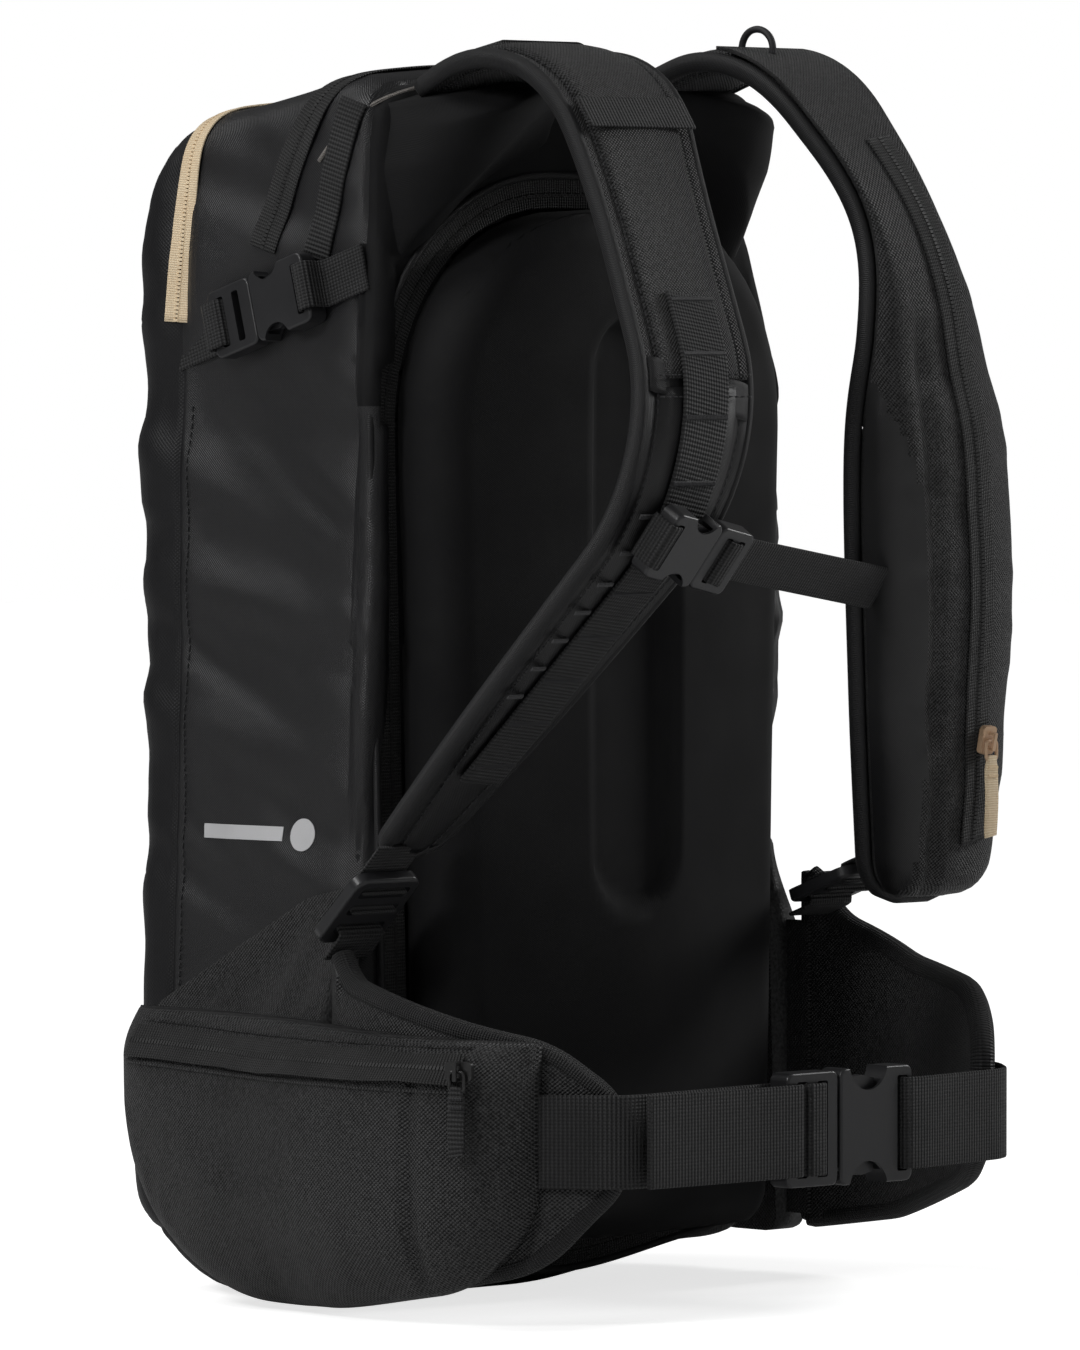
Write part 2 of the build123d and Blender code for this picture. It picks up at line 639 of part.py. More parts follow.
slider_angle = radians(199)
slider_reach = POCKET_OUTER + ZIP_TAPE
pocket_slider_plane = Plane(
    origin=(
        WING_CENTRE[0] + slider_reach * cos(slider_angle),
        WING_CENTRE[1] + slider_reach * sin(slider_angle),
        POCKET_ZIP_Z,
    ),
    x_dir=(-sin(slider_angle), cos(slider_angle), 0),
    z_dir=(cos(slider_angle), sin(slider_angle), 0),
)
save_zip("pocket_zip", pocket_slider_plane, 34, plate=(12, 8))

BACK_SLIDER_Z = 74.0
door_lean = (DOOR_TOP_HALF - DOOR_BOTTOM_HALF) / (DOOR_TOP_Z - DOOR_BOTTOM_Z)
back_slider_x = DOOR_BOTTOM_HALF + door_lean * (BACK_SLIDER_Z - DOOR_BOTTOM_Z) + 7.8
back_slider_plane = Plane(
    origin=(back_slider_x, BACK_Y - ZIP_TAPE, BACK_SLIDER_Z),
    x_dir=Vector(1, 0, -door_lean), z_dir=(0, -1, 0),
)
save_zip("back_zip", back_slider_plane, 26)


def side_slider_plane(low_point, run, distance):
    """A plane on a tape on the wearer's left side, some way up from the tape's low end."""
    along = Vector(0, *run).normalized()
    point = Vector(BAG_HALF_WIDTH, 0, 0) + Vector(0, *low_point) + along * distance
    point = point - SIDE_NORMAL * (point - Vector(BAG_HALF_WIDTH, 0, 0)).dot(SIDE_NORMAL)
    flat_along = along - SIDE_NORMAL * along.dot(SIDE_NORMAL)
    return Plane(
        origin=point + SIDE_NORMAL * ZIP_TAPE, x_dir=flat_along.cross(SIDE_NORMAL), z_dir=SIDE_NORMAL
    )


front_slider_plane = side_slider_plane(FRONT_ZIP_LOW, FRONT_ZIP_RUN, 38)
goggle_slider_plane = side_slider_plane(GOGGLE_ZIP_LOW, GOGGLE_ZIP_RUN, 16)
save_zip("front_zip", front_slider_plane, 24)
save_zip("goggle_zip", goggle_slider_plane, 18)

# ---- loops --------------------------------------------------------------------------------
top_slope = Vector(0, BACK_Y - FRONT_Y, BACK_TOP_Z - FRONT_TOP_Z).normalized()
HAUL_Y = -46.0
haul_z = BACK_TOP_Z + (HAUL_Y - BACK_Y) * (FRONT_TOP_Z - BACK_TOP_Z) / (FRONT_Y - BACK_Y)
haul_loop = strip(
    Plane(origin=(0, HAUL_Y, haul_z), x_dir=(1, 0, 0), z_dir=top_slope),
    [(-46, 1.0), (-32, 1.0), (-25, 9), (25, 9), (32, 1.0), (46, 1.0)], [5, 8, 8, 5], 15,
)

ski_loop_low = strip(
    Plane.XY.offset(112),
    [(-102, FRONT_Y + 1), (-94, FRONT_Y + 1), (-90, FRONT_Y + 22), (-68, FRONT_Y + 22),
     (-64, FRONT_Y + 1), (-56, FRONT_Y + 1)], [3, 8, 8, 3], 25,
)
ski_loop_top = strip(
    Plane.XY.offset(400),
    [(-92, FRONT_Y + 1), (-86, FRONT_Y + 1), (-83, FRONT_Y + 12), (-67, FRONT_Y + 12),
     (-64, FRONT_Y + 1), (-58, FRONT_Y + 1)], [3, 5, 5, 3], LIGHT_WIDTH,
)
save_group("webbing_loops", haul_loop, ski_loop_low, ski_loop_top)

with BuildPart() as half_ring:
    Torus(7, 1.4, rotation=(90, 0, 0))
    split(bisect_by=Plane.XY, keep=Keep.TOP)
cord_frame = strap_frame(STRAP_PATH_L, STRAP_BENDS_L, 0.2, 62, half_pad)
save(place(cord_frame, half_ring.part), "cord_loop_l")

SIDE_TAPE = (-42.0, 464.0)  # (y, z) of the middle of the ribbed tape high on each side
tape_face = -(BAG_HALF_WIDTH - SIDE_LEAN * SIDE_TAPE[1])
tape_plane = Plane(origin=(tape_face, *SIDE_TAPE), x_dir=(0, -0.27, 0.963), z_dir=outward_r)
with BuildPart() as side_tape_r:
    with BuildSketch(tape_plane):
        Rectangle(52, 12)
    extrude(amount=1.2)
side_webbing_r = (compression_rear, compression_front, side_tape_r)
save_group("side_webbing", *side_webbing_r, *[mirrored(piece) for piece in side_webbing_r])
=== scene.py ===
"""Looks for the ski touring backpack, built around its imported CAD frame. Metres, +Z up."""

import json
import math

import bmesh
import bpy
import numpy as np
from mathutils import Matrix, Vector
from mathutils.bvhtree import BVHTree


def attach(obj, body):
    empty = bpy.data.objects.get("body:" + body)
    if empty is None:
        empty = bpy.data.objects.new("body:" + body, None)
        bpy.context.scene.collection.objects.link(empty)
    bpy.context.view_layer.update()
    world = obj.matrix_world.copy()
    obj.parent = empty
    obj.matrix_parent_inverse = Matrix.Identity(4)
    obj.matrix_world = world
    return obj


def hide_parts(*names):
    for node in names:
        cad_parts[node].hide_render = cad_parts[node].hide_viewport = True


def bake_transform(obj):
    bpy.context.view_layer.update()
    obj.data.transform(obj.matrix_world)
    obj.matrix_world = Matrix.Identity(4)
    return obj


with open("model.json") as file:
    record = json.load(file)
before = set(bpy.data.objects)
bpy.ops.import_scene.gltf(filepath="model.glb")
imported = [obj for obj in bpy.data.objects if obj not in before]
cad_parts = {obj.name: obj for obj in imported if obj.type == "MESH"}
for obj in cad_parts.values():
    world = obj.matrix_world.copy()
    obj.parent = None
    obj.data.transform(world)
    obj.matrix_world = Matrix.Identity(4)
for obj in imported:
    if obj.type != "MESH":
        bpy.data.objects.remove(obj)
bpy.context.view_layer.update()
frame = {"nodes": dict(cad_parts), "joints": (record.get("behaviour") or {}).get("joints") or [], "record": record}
NODES = frame["nodes"]
MM = 0.001

# ---- the CAD part's own dimensions, repeated here in millimetres ---------------------------
BACK_Y, FRONT_Y = -70.0, 70.0
SIDE_X, SIDE_LEAN = 127.0, 0.035
PROFILE = [(-70, 0), (-70, 518), (70, 490), (70, 0)]
PROFILE_ROUND = [30, 24, 38, 60]
EDGE_ROUND = 18.0
DOOR = [(-94, 24), (94, 24), (106, 452), (-106, 452)]
DOOR_ROUND = [16, 16, 88, 88]
STRAP_ROOT = (-72, 502)
PATH_R = [STRAP_ROOT, (-130, 535), (-242, 350), (-96, 190)]
PATH_L = [STRAP_ROOT, (-142, 525), (-206, 440), (-154, 164)]
BENDS_R, BENDS_L = [60, 75], [60, 110]
OUTLINE_R = [(560, 52, 40), (505, 56, 38), (450, 66, 33), (350, 90, 33), (250, 111, 27), (180, 126, 16)]
OUTLINE_L = [(560, 51, 32), (505, 54, 28), (450, 64, 23), (400, 72, 32), (350, 84, 42), (250, 105, 40),
             (170, 117, 31), (150, 118, 28)]
WING_CENTRE = (-18.4, -123.0)


# ---- numbers and curves -------------------------------------------------------------------
def rounded(points, radii, closed=False, step=4.0):
    """A polyline with rounded corners, as evenly spaced 2-D points."""
    pts = np.array(points, float)
    n = len(pts)
    out = []
    for i in range(n):
        if not closed and i in (0, n - 1):
            out.append(pts[i])
            continue
        r = radii[i if closed else i - 1]
        a, b, c = pts[i - 1], pts[i], pts[(i + 1) % n]
        u, v = (a - b) / np.linalg.norm(a - b), (c - b) / np.linalg.norm(c - b)
        half = math.acos(np.clip(u @ v, -1, 1)) / 2
        bis = (u + v) / np.linalg.norm(u + v)
        centre = b + bis * r / math.sin(half)
        p, q = b + u * r / math.tan(half), b + v * r / math.tan(half)
        a0, a1 = math.atan2(*(p - centre)[::-1]), math.atan2(*(q - centre)[::-1])
        turn = (a1 - a0 + math.pi) % (2 * math.pi) - math.pi
        for t in np.linspace(0, 1, 13):
            ang = a0 + turn * t
            out.append(centre + r * np.array([math.cos(ang), math.sin(ang)]))
    out = np.array(out)
    if closed:
        out = np.vstack([out, out[:1]])
    return even(out, step=step, closed=closed)


def run_along(line):
    """Distance from the start of a line to each of its points."""
    return np.concatenate([[0], np.cumsum(np.linalg.norm(np.diff(line, axis=0), axis=1))])


def even(points, step=None, count=None, closed=False):
    """The same line with evenly spaced points; a closed line comes without its repeated end."""
    points = np.asarray(points, float)
    run = run_along(points)
    count = count or max(3, int(round(run[-1] / step)) + 1)
    at = np.linspace(0, run[-1], count)
    line = np.stack([np.interp(at, run, points[:, k]) for k in range(points.shape[1])], 1)
    return line[:-1] if closed else line


def smooth_table(table):
    """Dense (z, middle, half width) rows through a strap's outline table."""
    t = np.array(table, float)
    rows = []
    for i in range(len(t) - 1):
        a, b, c, d = t[max(i - 1, 0)], t[i], t[i + 1], t[min(i + 2, len(t) - 1)]
        for s in np.linspace(0, 1, 16, endpoint=False):
            rows.append(0.5 * (2 * b + (c - a) * s + (2 * a - 5 * b + 4 * c - d) * s**2
                               + (3 * b - a - 3 * c + d) * s**3))
    rows.append(t[-1])
    rows = np.array(rows)
    return rows[np.argsort(rows[:, 0])]


def step01(x, low, high):
    """0 below low, 1 above high, smooth between."""
    t = np.clip((np.asarray(x, float) - low) / (high - low), 0, 1)
    return t * t * (3 - 2 * t)


def hash_noise(p):
    """Repeatable value in 0..1 at integer points."""
    p = p.astype(np.int64)
    h = p[..., 0] * 374761393 + p[..., 1] * 668265263 + p[..., 2] * 2147483647
    h = (h ^ (h >> 13)) * 1274126177
    return ((h ^ (h >> 16)) & 0xFFFF) / 65535.0


def noise(points, scale):
    """Smooth 3-D noise in -1..1 with features about scale long."""
    q = np.asarray(points, float) / scale
    base = np.floor(q)
    f = q - base
    f = f * f * (3 - 2 * f)
    total = np.zeros(len(q))
    for dx in (0, 1):
        for dy in (0, 1):
            for dz in (0, 1):
                w = (f[:, 0] if dx else 1 - f[:, 0]) * (f[:, 1] if dy else 1 - f[:, 1])
                w = w * (f[:, 2] if dz else 1 - f[:, 2])
                total += w * hash_noise(base + np.array([dx, dy, dz]))
    return total * 2 - 1


def placed(name, data):
    """A new object in the scene."""
    obj = bpy.data.objects.new(name, data)
    bpy.context.scene.collection.objects.link(obj)
    return obj


# ---- materials ----------------------------------------------------------------------------
def shader(name, color, roughness, **sockets):
    mat = bpy.data.materials.new(name)
    mat.use_nodes = True
    bsdf = mat.node_tree.nodes["Principled BSDF"]
    bsdf.inputs["Base Color"].default_value = (*color, 1)
    bsdf.inputs["Roughness"].default_value = roughness
    for key, value in sockets.items():
        bsdf.inputs[key.replace("_", " ")].default_value = value
    return mat, mat.node_tree, bsdf


def node(tree, kind, **values):
    made = tree.nodes.new(kind)
    for key, value in values.items():
        if hasattr(made, key):
            setattr(made, key, value)
        else:
            made.inputs[key.replace("_", " ")].default_value = value
    return made


def math_node(tree, op, a, b=None):
    made = tree.nodes.new("ShaderNodeMath")
    made.operation = op
    for i, value in enumerate((a, b)):
        if value is None:
            continue
        if isinstance(value, (int, float)):
            made.inputs[i].default_value = value
        else:
            tree.links.new(value, made.inputs[i])
    return made.outputs[0]


def mul(tree, a, b):
    return math_node(tree, "MULTIPLY", a, b)


def add(tree, a, b):
    return math_node(tree, "ADD", a, b)


def tint(tree, bsdf, factor, dark, light):
    """Colour that runs from dark to light with a factor."""
    mix = tree.nodes.new("ShaderNodeMix")
    mix.data_type = "RGBA"
    mix.inputs["A"].default_value = (*dark, 1)
    mix.inputs["B"].default_value = (*light, 1)
    tree.links.new(factor, mix.inputs["Factor"])
    tree.links.new(mix.outputs["Result"], bsdf.inputs["Base Color"])


def raise_by(tree, bsdf, height, strength, distance):
    bump = node(tree, "ShaderNodeBump", Strength=strength, Distance=distance)
    tree.links.new(height, bump.inputs["Height"])
    tree.links.new(bump.outputs[0], bsdf.inputs["Normal"])


def weave_waves(tree, pitch_u, pitch_v, shift=0.0):
    """Two sine waves over the weave UV map, whose unit is the metre."""
    uv = node(tree, "ShaderNodeUVMap", uv_map="weave")
    split = tree.nodes.new("ShaderNodeSeparateXYZ")
    tree.links.new(uv.outputs[0], split.inputs[0])
    u = mul(tree, split.outputs[0], 2 * math.pi / pitch_u)
    v = mul(tree, split.outputs[1], 2 * math.pi / pitch_v)
    if shift:
        u = add(tree, u, mul(tree, v, shift))
    return math_node(tree, "SINE", u), math_node(tree, "SINE", v)


def patch_noise(tree, scale, detail=3.0):
    where = node(tree, "ShaderNodeTexCoord")
    made = node(tree, "ShaderNodeTexNoise", Scale=scale, Detail=detail)
    tree.links.new(where.outputs["Object"], made.inputs["Vector"])
    return made.outputs["Fac"]


def woven(name, dark, light, pitch, roughness, bump, sheen=0.1, patches=30.0, diagonal=0.0, contrast=0.35,
          crinkle=0.0, depth=0.0003, painted_glints=0.0, **more):
    """Cloth: yarns cross at a real pitch, with slow changes of tone and shine over the piece, and optional specks
    in the colour that are painted highlights where the threads catch the light.
    """
    more.setdefault("Specular_IOR_Level", 0.3)
    mat, tree, bsdf = shader(name, light, roughness, Sheen_Weight=sheen, Sheen_Roughness=0.4, **more)
    across, along = weave_waves(tree, pitch, pitch, diagonal)
    yarns = mul(tree, across, along)
    grain = add(tree, mul(tree, yarns, contrast), 0.5)
    slow = patch_noise(tree, patches)
    fine = patch_noise(tree, 900.0, 1.0)
    tone = mul(tree, grain, add(tree, slow, 0.5))
    # Bright and dark specks in the colour: painted glints where the threads catch the light.
    if painted_glints:
        dots = math_node(tree, "SUBTRACT", patch_noise(tree, 650.0, 2.0), 0.5)
        painted_glint_spots = mul(tree, dots, painted_glints)
        tone = add(tree, tone, painted_glint_spots)
        tone.node.use_clamp = True
    tint(tree, bsdf, tone, dark, light)
    rough = add(tree, mul(tree, slow, 0.25), roughness - 0.12)
    tree.links.new(rough, bsdf.inputs["Roughness"])
    height = add(tree, yarns, mul(tree, fine, 0.6))
    if crinkle:
        height = add(tree, height, mul(tree, patch_noise(tree, 38.0, 5.0), crinkle))
    raise_by(tree, bsdf, height, bump, depth)
    return mat


def ribbed(name, dark, light, pitch, roughness=0.62, bump=0.7):
    """Webbing: ribs across its length, with a finer twist along each rib."""
    mat, tree, bsdf = shader(name, light, roughness, Sheen_Weight=0.03, Specular_IOR_Level=0.3)
    across, along = weave_waves(tree, pitch * 0.8, pitch)
    ribs = add(tree, along, mul(tree, across, 0.45))
    grain = add(tree, mul(tree, ribs, 0.28), 0.5)
    slow = patch_noise(tree, 60.0)
    tint(tree, bsdf, mul(tree, grain, add(tree, slow, 0.5)), dark, light)
    raise_by(tree, bsdf, ribs, bump, 0.0004)
    return mat


def moulded(name, color, roughness, wear=0.05, metallic=0.0):
    """Moulded plastic or metal with a fine spark texture and dull scuffed patches."""
    mat, tree, bsdf = shader(name, color, roughness, Metallic=metallic)
    slow = patch_noise(tree, 45.0, 4.0)
    fine = patch_noise(tree, 1800.0, 2.0)
    rough = add(tree, mul(tree, slow, 0.22), roughness - 0.1)
    tree.links.new(rough, bsdf.inputs["Roughness"])
    light = tuple(c + wear for c in color)
    tint(tree, bsdf, mul(tree, slow, 0.35), color, light)
    raise_by(tree, bsdf, fine, 0.25, 0.0002)
    return mat


JET, BLACK, INK = (0.0012, 0.0012, 0.0014), (0.002, 0.002, 0.0022), (0.004, 0.004, 0.0046)
MAT = {
    "nylon": woven("nylon", INK, (0.010, 0.010, 0.0115), 0.0011, 0.38, 0.35, 0.0, 22.0, crinkle=14.0,
                   Specular_IOR_Level=0.5),
    "ripstop": woven("ripstop", INK, (0.010, 0.010, 0.0115), 0.0016, 0.46, 0.22, 0.0, 22.0),
    "base": woven("base_cloth", BLACK, (0.010, 0.010, 0.011), 0.0016, 0.6, 0.6, 0.0),
    # Twill: its strong weave contrast and its specks are painted highlights of its threads, put into the colour.
    "twill": woven("twill", JET, (0.060, 0.060, 0.061), 0.0017, 0.5, 1.0, 0.03, 30.0, 0.0, 0.7, depth=0.0005,
                   painted_glints=1.8),
    "smooth": woven("smooth_cloth", BLACK, (0.010, 0.010, 0.011), 0.0009, 0.38, 0.3, 0.0, crinkle=12.0,
                    Specular_IOR_Level=0.5),
    "softshell": woven("softshell", JET, (0.0048, 0.0048, 0.0056), 0.0008, 0.8, 0.2, 0.02),
    "binding": woven("binding_tape", INK, (0.018, 0.018, 0.019), 0.0008, 0.5, 0.4, 0.03),
    "webbing": ribbed("webbing", JET, (0.034, 0.034, 0.035), 0.0018),
    "zip": ribbed("zip_tape", BLACK, (0.044, 0.044, 0.044), 0.0014, 0.6, 0.8),
    "tan": ribbed("tan_tape", (0.74, 0.53, 0.32), (0.98, 0.84, 0.60), 0.001, 0.6, 0.4),
    "plastic": moulded("buckle_plastic", (0.014, 0.014, 0.0155), 0.36, 0.02),
    "sheet": moulded("frame_plastic", (0.08, 0.08, 0.085), 0.45),
    "foam": moulded("foam", (0.22, 0.22, 0.23), 0.9),
    "metal": moulded("slider_metal", (0.012, 0.012, 0.012), 0.28, 0.02),
    "tan_metal": moulded("tan_slider", (0.6, 0.4, 0.25), 0.4),
    "thread": moulded("thread", (0.016, 0.016, 0.018), 0.6, 0.01),
    "grey_thread": moulded("grey_thread", (0.05, 0.05, 0.052), 0.6, 0.02),
    "mark": moulded("print_mark", (0.55, 0.55, 0.56), 0.6, 0.05),
    "raw_edge": woven("raw_edge", (0.12, 0.11, 0.10), (0.42, 0.39, 0.36), 0.0009, 0.7, 0.6, 0.1),
    "stay": moulded("stay_metal", (0.7, 0.7, 0.72), 0.35, metallic=1.0),
    "grosgrain": ribbed("grosgrain", BLACK, (0.032, 0.032, 0.033), 0.0012, 0.55, 0.9),
}


# ---- meshes -------------------------------------------------------------------------------
def mesh_object(name, verts, faces, mat, uv=None, body=None, replaces=(), smooth=True):
    """A piece from millimetre points. uv is one (u, v) per point, in metres."""
    mesh = bpy.data.meshes.new(name)
    mesh.from_pydata((np.asarray(verts, float) * MM).tolist(), [], [list(map(int, f)) for f in faces])
    obj = placed(name, mesh)
    if uv is not None:
        layer = mesh.uv_layers.new(name="weave")
        index = np.zeros(len(mesh.loops), np.int32)
        mesh.loops.foreach_get("vertex_index", index)
        layer.data.foreach_set("uv", np.asarray(uv, np.float32)[index].ravel())
    return finish_piece(obj, mat, body, replaces, smooth)


def shade_smooth(obj, smooth=True):
    obj.data.polygons.foreach_set("use_smooth", [smooth] * len(obj.data.polygons))


def finish_piece(obj, mat, body, replaces=(), smooth=True):
    obj.data.materials.clear()
    obj.data.materials.append(MAT[mat])
    shade_smooth(obj, smooth)
    if body:
        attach(obj, body)
    if replaces:
        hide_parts(*replaces)
    return obj


def grid_faces(rows, cols, closed_rows=False, closed_cols=False):
    """Quads over a rows by cols grid of points."""
    r = np.arange(rows if closed_rows else rows - 1)
    c = np.arange(cols if closed_cols else cols - 1)
    i, j = np.meshgrid(r, c, indexing="ij")
    i2, j2 = (i + 1) % rows, (j + 1) % cols
    return np.stack([i * cols + j, i * cols + j2, i2 * cols + j2, i2 * cols + j], -1).reshape(-1, 4)


def tube_faces(rows, around):
    """Quads round a tube of rings, with a cap at each end."""
    faces = grid_faces(rows, around, False, True).tolist()
    return faces + [list(range(around))[::-1], list(range((rows - 1) * around, rows * around))]


def rim_loop(rows, cols):
    """Point numbers once round the rim of a grid."""
    loop = ([(0, k) for k in range(cols)] + [(k, cols - 1) for k in range(1, rows)]
            + [(rows - 1, k) for k in range(cols - 2, -1, -1)] + [(k, 0) for k in range(rows - 2, 0, -1)])
    return [a * cols + b for a, b in loop]


def sweep(name, centre, across, normal, section, mat, body=None, replaces=(), closed=False):
    """A closed cross-section carried along a line. section is (K, 2) or (N, K, 2), in mm."""
    centre, across, normal = (np.asarray(v, float) for v in (centre, across, normal))
    n = len(centre)
    section = np.asarray(section, float)
    if section.ndim == 2:
        section = np.repeat(section[None], n, 0)
    k = section.shape[1]
    verts = (centre[:, None] + across[:, None] * section[..., :1] + normal[:, None] * section[..., 1:])
    faces = grid_faces(n, k, closed, True).tolist()
    if not closed:
        faces += [list(range(k))[::-1], list(range((n - 1) * k, n * k))]
    along = run_along(centre)
    uv = np.stack([section[..., 0] + 0.3 * section[..., 1], np.repeat(along[:, None], k, 1)], -1) * MM
    return mesh_object(name, verts.reshape(-1, 3), faces, mat, uv.reshape(-1, 2), body, replaces)


def flat_section(width, thick, bead=0.25):
    """Cross-section of webbing or tape: flat, with rounded edges."""
    w, t = width / 2, thick / 2
    half = [(-w, 0), (-w + bead * t, t * 0.75), (-w + t, t), (-w / 2, t), (0, t), (w / 2, t), (w - t, t),
            (w - bead * t, t * 0.75), (w, 0)]
    return np.array(half + [(a, -b) for a, b in half[-2:0:-1]])


def round_section(radius, count=10):
    ang = np.linspace(0, 2 * math.pi, count, endpoint=False)
    return np.stack([np.cos(ang), np.sin(ang)], 1) * radius


def tangents(line, closed=False):
    if closed:
        d = np.roll(line, -1, 0) - np.roll(line, 1, 0)
    else:
        d = np.gradient(line, axis=0)
    return d / np.maximum(np.linalg.norm(d, axis=1, keepdims=True), 1e-9)


def unit(v):
    return v / np.maximum(np.linalg.norm(v, axis=-1, keepdims=True), 1e-9)


def band(name, line, normal, section, mat, body, replaces=(), closed=False):
    """Sweeps a cross-section along a 3-D line that lies on a surface with the given normals."""
    line = np.asarray(line, float)
    t = tangents(line, closed)
    normal = np.broadcast_to(np.asarray(normal, float), line.shape)
    across = unit(np.cross(t, normal))
    return sweep(name, line, across, unit(np.cross(across, t)), section, mat, body, replaces, closed)


def stitches(name, line, normal, body, pitch=3.6, length=2.4, radius=0.32, lift=0.15):
    """A row of small thread stitches lying along a line on a surface."""
    line = np.asarray(line, float)
    run = run_along(line)
    normal = np.broadcast_to(np.asarray(normal, float), line.shape)
    starts = np.arange(0, run[-1] - length, pitch)
    verts, faces = [], []
    ring = np.array([(0, 0.2), (1, 0.2), (1, 1), (0, 1)])
    for s in starts:
        ends = []
        for at, rise in ((s, -0.3), (s + length * 0.3, 1), (s + length * 0.7, 1), (s + length, -0.3)):
            p = np.array([np.interp(at, run, line[:, k]) for k in range(3)])
            m = unit(np.array([np.interp(at, run, normal[:, k]) for k in range(3)]))
            ends.append(p + m * (lift + radius * rise))
            last = m
        t = unit(ends[3] - ends[0])
        side = unit(np.cross(t, last))
        base = len(verts)
        for e in ends:
            for a, b in ((1, 0), (0, 1), (-1, 0), (0, -1)):
                verts.append(e + side * a * radius + last * b * radius)
        for i in range(3):
            for j in range(4):
                a, b = base + i * 4 + j, base + i * 4 + (j + 1) % 4
                faces.append((a, b, b + 4, a + 4))
        faces.append(tuple(base + j for j in (3, 2, 1, 0)))
        faces.append(tuple(base + 12 + j for j in range(4)))
    return mesh_object(name, verts, faces, "thread", None, body)


def evaluated(obj):
    """Applies all of an object's modifiers to its mesh."""
    graph = bpy.context.evaluated_depsgraph_get()
    mesh = bpy.data.meshes.new_from_object(obj.evaluated_get(graph))
    obj.modifiers.clear()
    obj.data = mesh
    return obj


def box_uv(obj):
    """A weave UV map in metres, laid flat on each face's main direction."""
    mesh = obj.data
    layer = mesh.uv_layers.get("weave") or mesh.uv_layers.new(name="weave")
    n = len(mesh.loops)
    vert = np.zeros(n, np.int32)
    mesh.loops.foreach_get("vertex_index", vert)
    co = np.zeros(len(mesh.vertices) * 3)
    mesh.vertices.foreach_get("co", co)
    co = co.reshape(-1, 3)
    face_normal = np.zeros(len(mesh.polygons) * 3)
    mesh.polygons.foreach_get("normal", face_normal)
    main = np.abs(face_normal.reshape(-1, 3) * (1, 1, 0.8)).argmax(1)
    total = np.zeros(len(mesh.polygons), np.int32)
    mesh.polygons.foreach_get("loop_total", total)
    main = np.repeat(main, total)
    p = co[vert]
    u = np.where(main == 0, p[:, 1], p[:, 0])
    v = np.where(main == 2, p[:, 1], p[:, 2])
    layer.data.foreach_set("uv", np.stack([u, v], 1).astype(np.float32).ravel())
    return obj


def from_nodes(name, *nodes):
    """A new object with the joined shape of CAD nodes."""
    bm = bmesh.new()
    for n in nodes:
        bm.from_mesh(NODES[n].data)
    bmesh.ops.remove_doubles(bm, verts=bm.verts, dist=1e-5)
    mesh = bpy.data.meshes.new(name)
    bm.to_mesh(mesh)
    bm.free()
    obj = placed(name, mesh)
    return obj


def get_co(obj):
    co = np.zeros(len(obj.data.vertices) * 3)
    obj.data.vertices.foreach_get("co", co)
    return co.reshape(-1, 3)


def set_co(obj, co):
    obj.data.vertices.foreach_set("co", co.ravel())
    obj.data.update()


def get_normals(obj):
    return np.array([v.normal for v in obj.data.vertices])


def remesh(obj, voxel, smooth=6, shrink=0.0):
    mod = obj.modifiers.new("remesh", "REMESH")
    mod.mode = "VOXEL"
    mod.voxel_size = voxel * MM
    evaluated(obj)
    if shrink:
        set_co(obj, get_co(obj) - get_normals(obj) * shrink * MM)
    mod = obj.modifiers.new("smooth", "SMOOTH")
    mod.factor = 0.5
    mod.iterations = smooth
    return evaluated(obj)


def inflate(obj, pressure=4.0, cap=8.0, grow=0.0, pinned=None, frames=20, stiff=15.0):
    """Swells a closed soft piece with a short cloth simulation and keeps the result."""
    rest = get_co(obj)
    mod = obj.modifiers.new("cloth", "CLOTH")
    s = mod.settings
    s.quality = 5
    s.mass = 0.3
    s.tension_stiffness = s.compression_stiffness = s.shear_stiffness = stiff
    s.bending_stiffness = 0.5
    s.use_pressure = True
    s.uniform_pressure_force = pressure
    s.shrink_min = -grow
    s.effector_weights.gravity = 0
    mod.collision_settings.use_collision = False
    if pinned is not None and pinned.any():
        group = obj.vertex_groups.new(name="pin")
        for value in np.unique(pinned[pinned > 0]):
            group.add([int(i) for i in np.nonzero(pinned == value)[0]], float(value), "REPLACE")
        s.vertex_group_mass = "pin"
    mod.point_cache.frame_start = 1
    mod.point_cache.frame_end = frames
    scene = bpy.context.scene
    for f in range(1, frames + 1):
        scene.frame_set(f)
    evaluated(obj)
    scene.frame_set(1)
    move = get_co(obj) - rest
    size = np.linalg.norm(move, axis=1, keepdims=True)
    set_co(obj, rest + move * np.minimum(1, cap * MM / np.maximum(size, 1e-9)))
    return obj


def subdivide(obj, levels=1):
    mod = obj.modifiers.new("subdivide", "SUBSURF")
    mod.levels = mod.render_levels = levels
    return evaluated(obj)


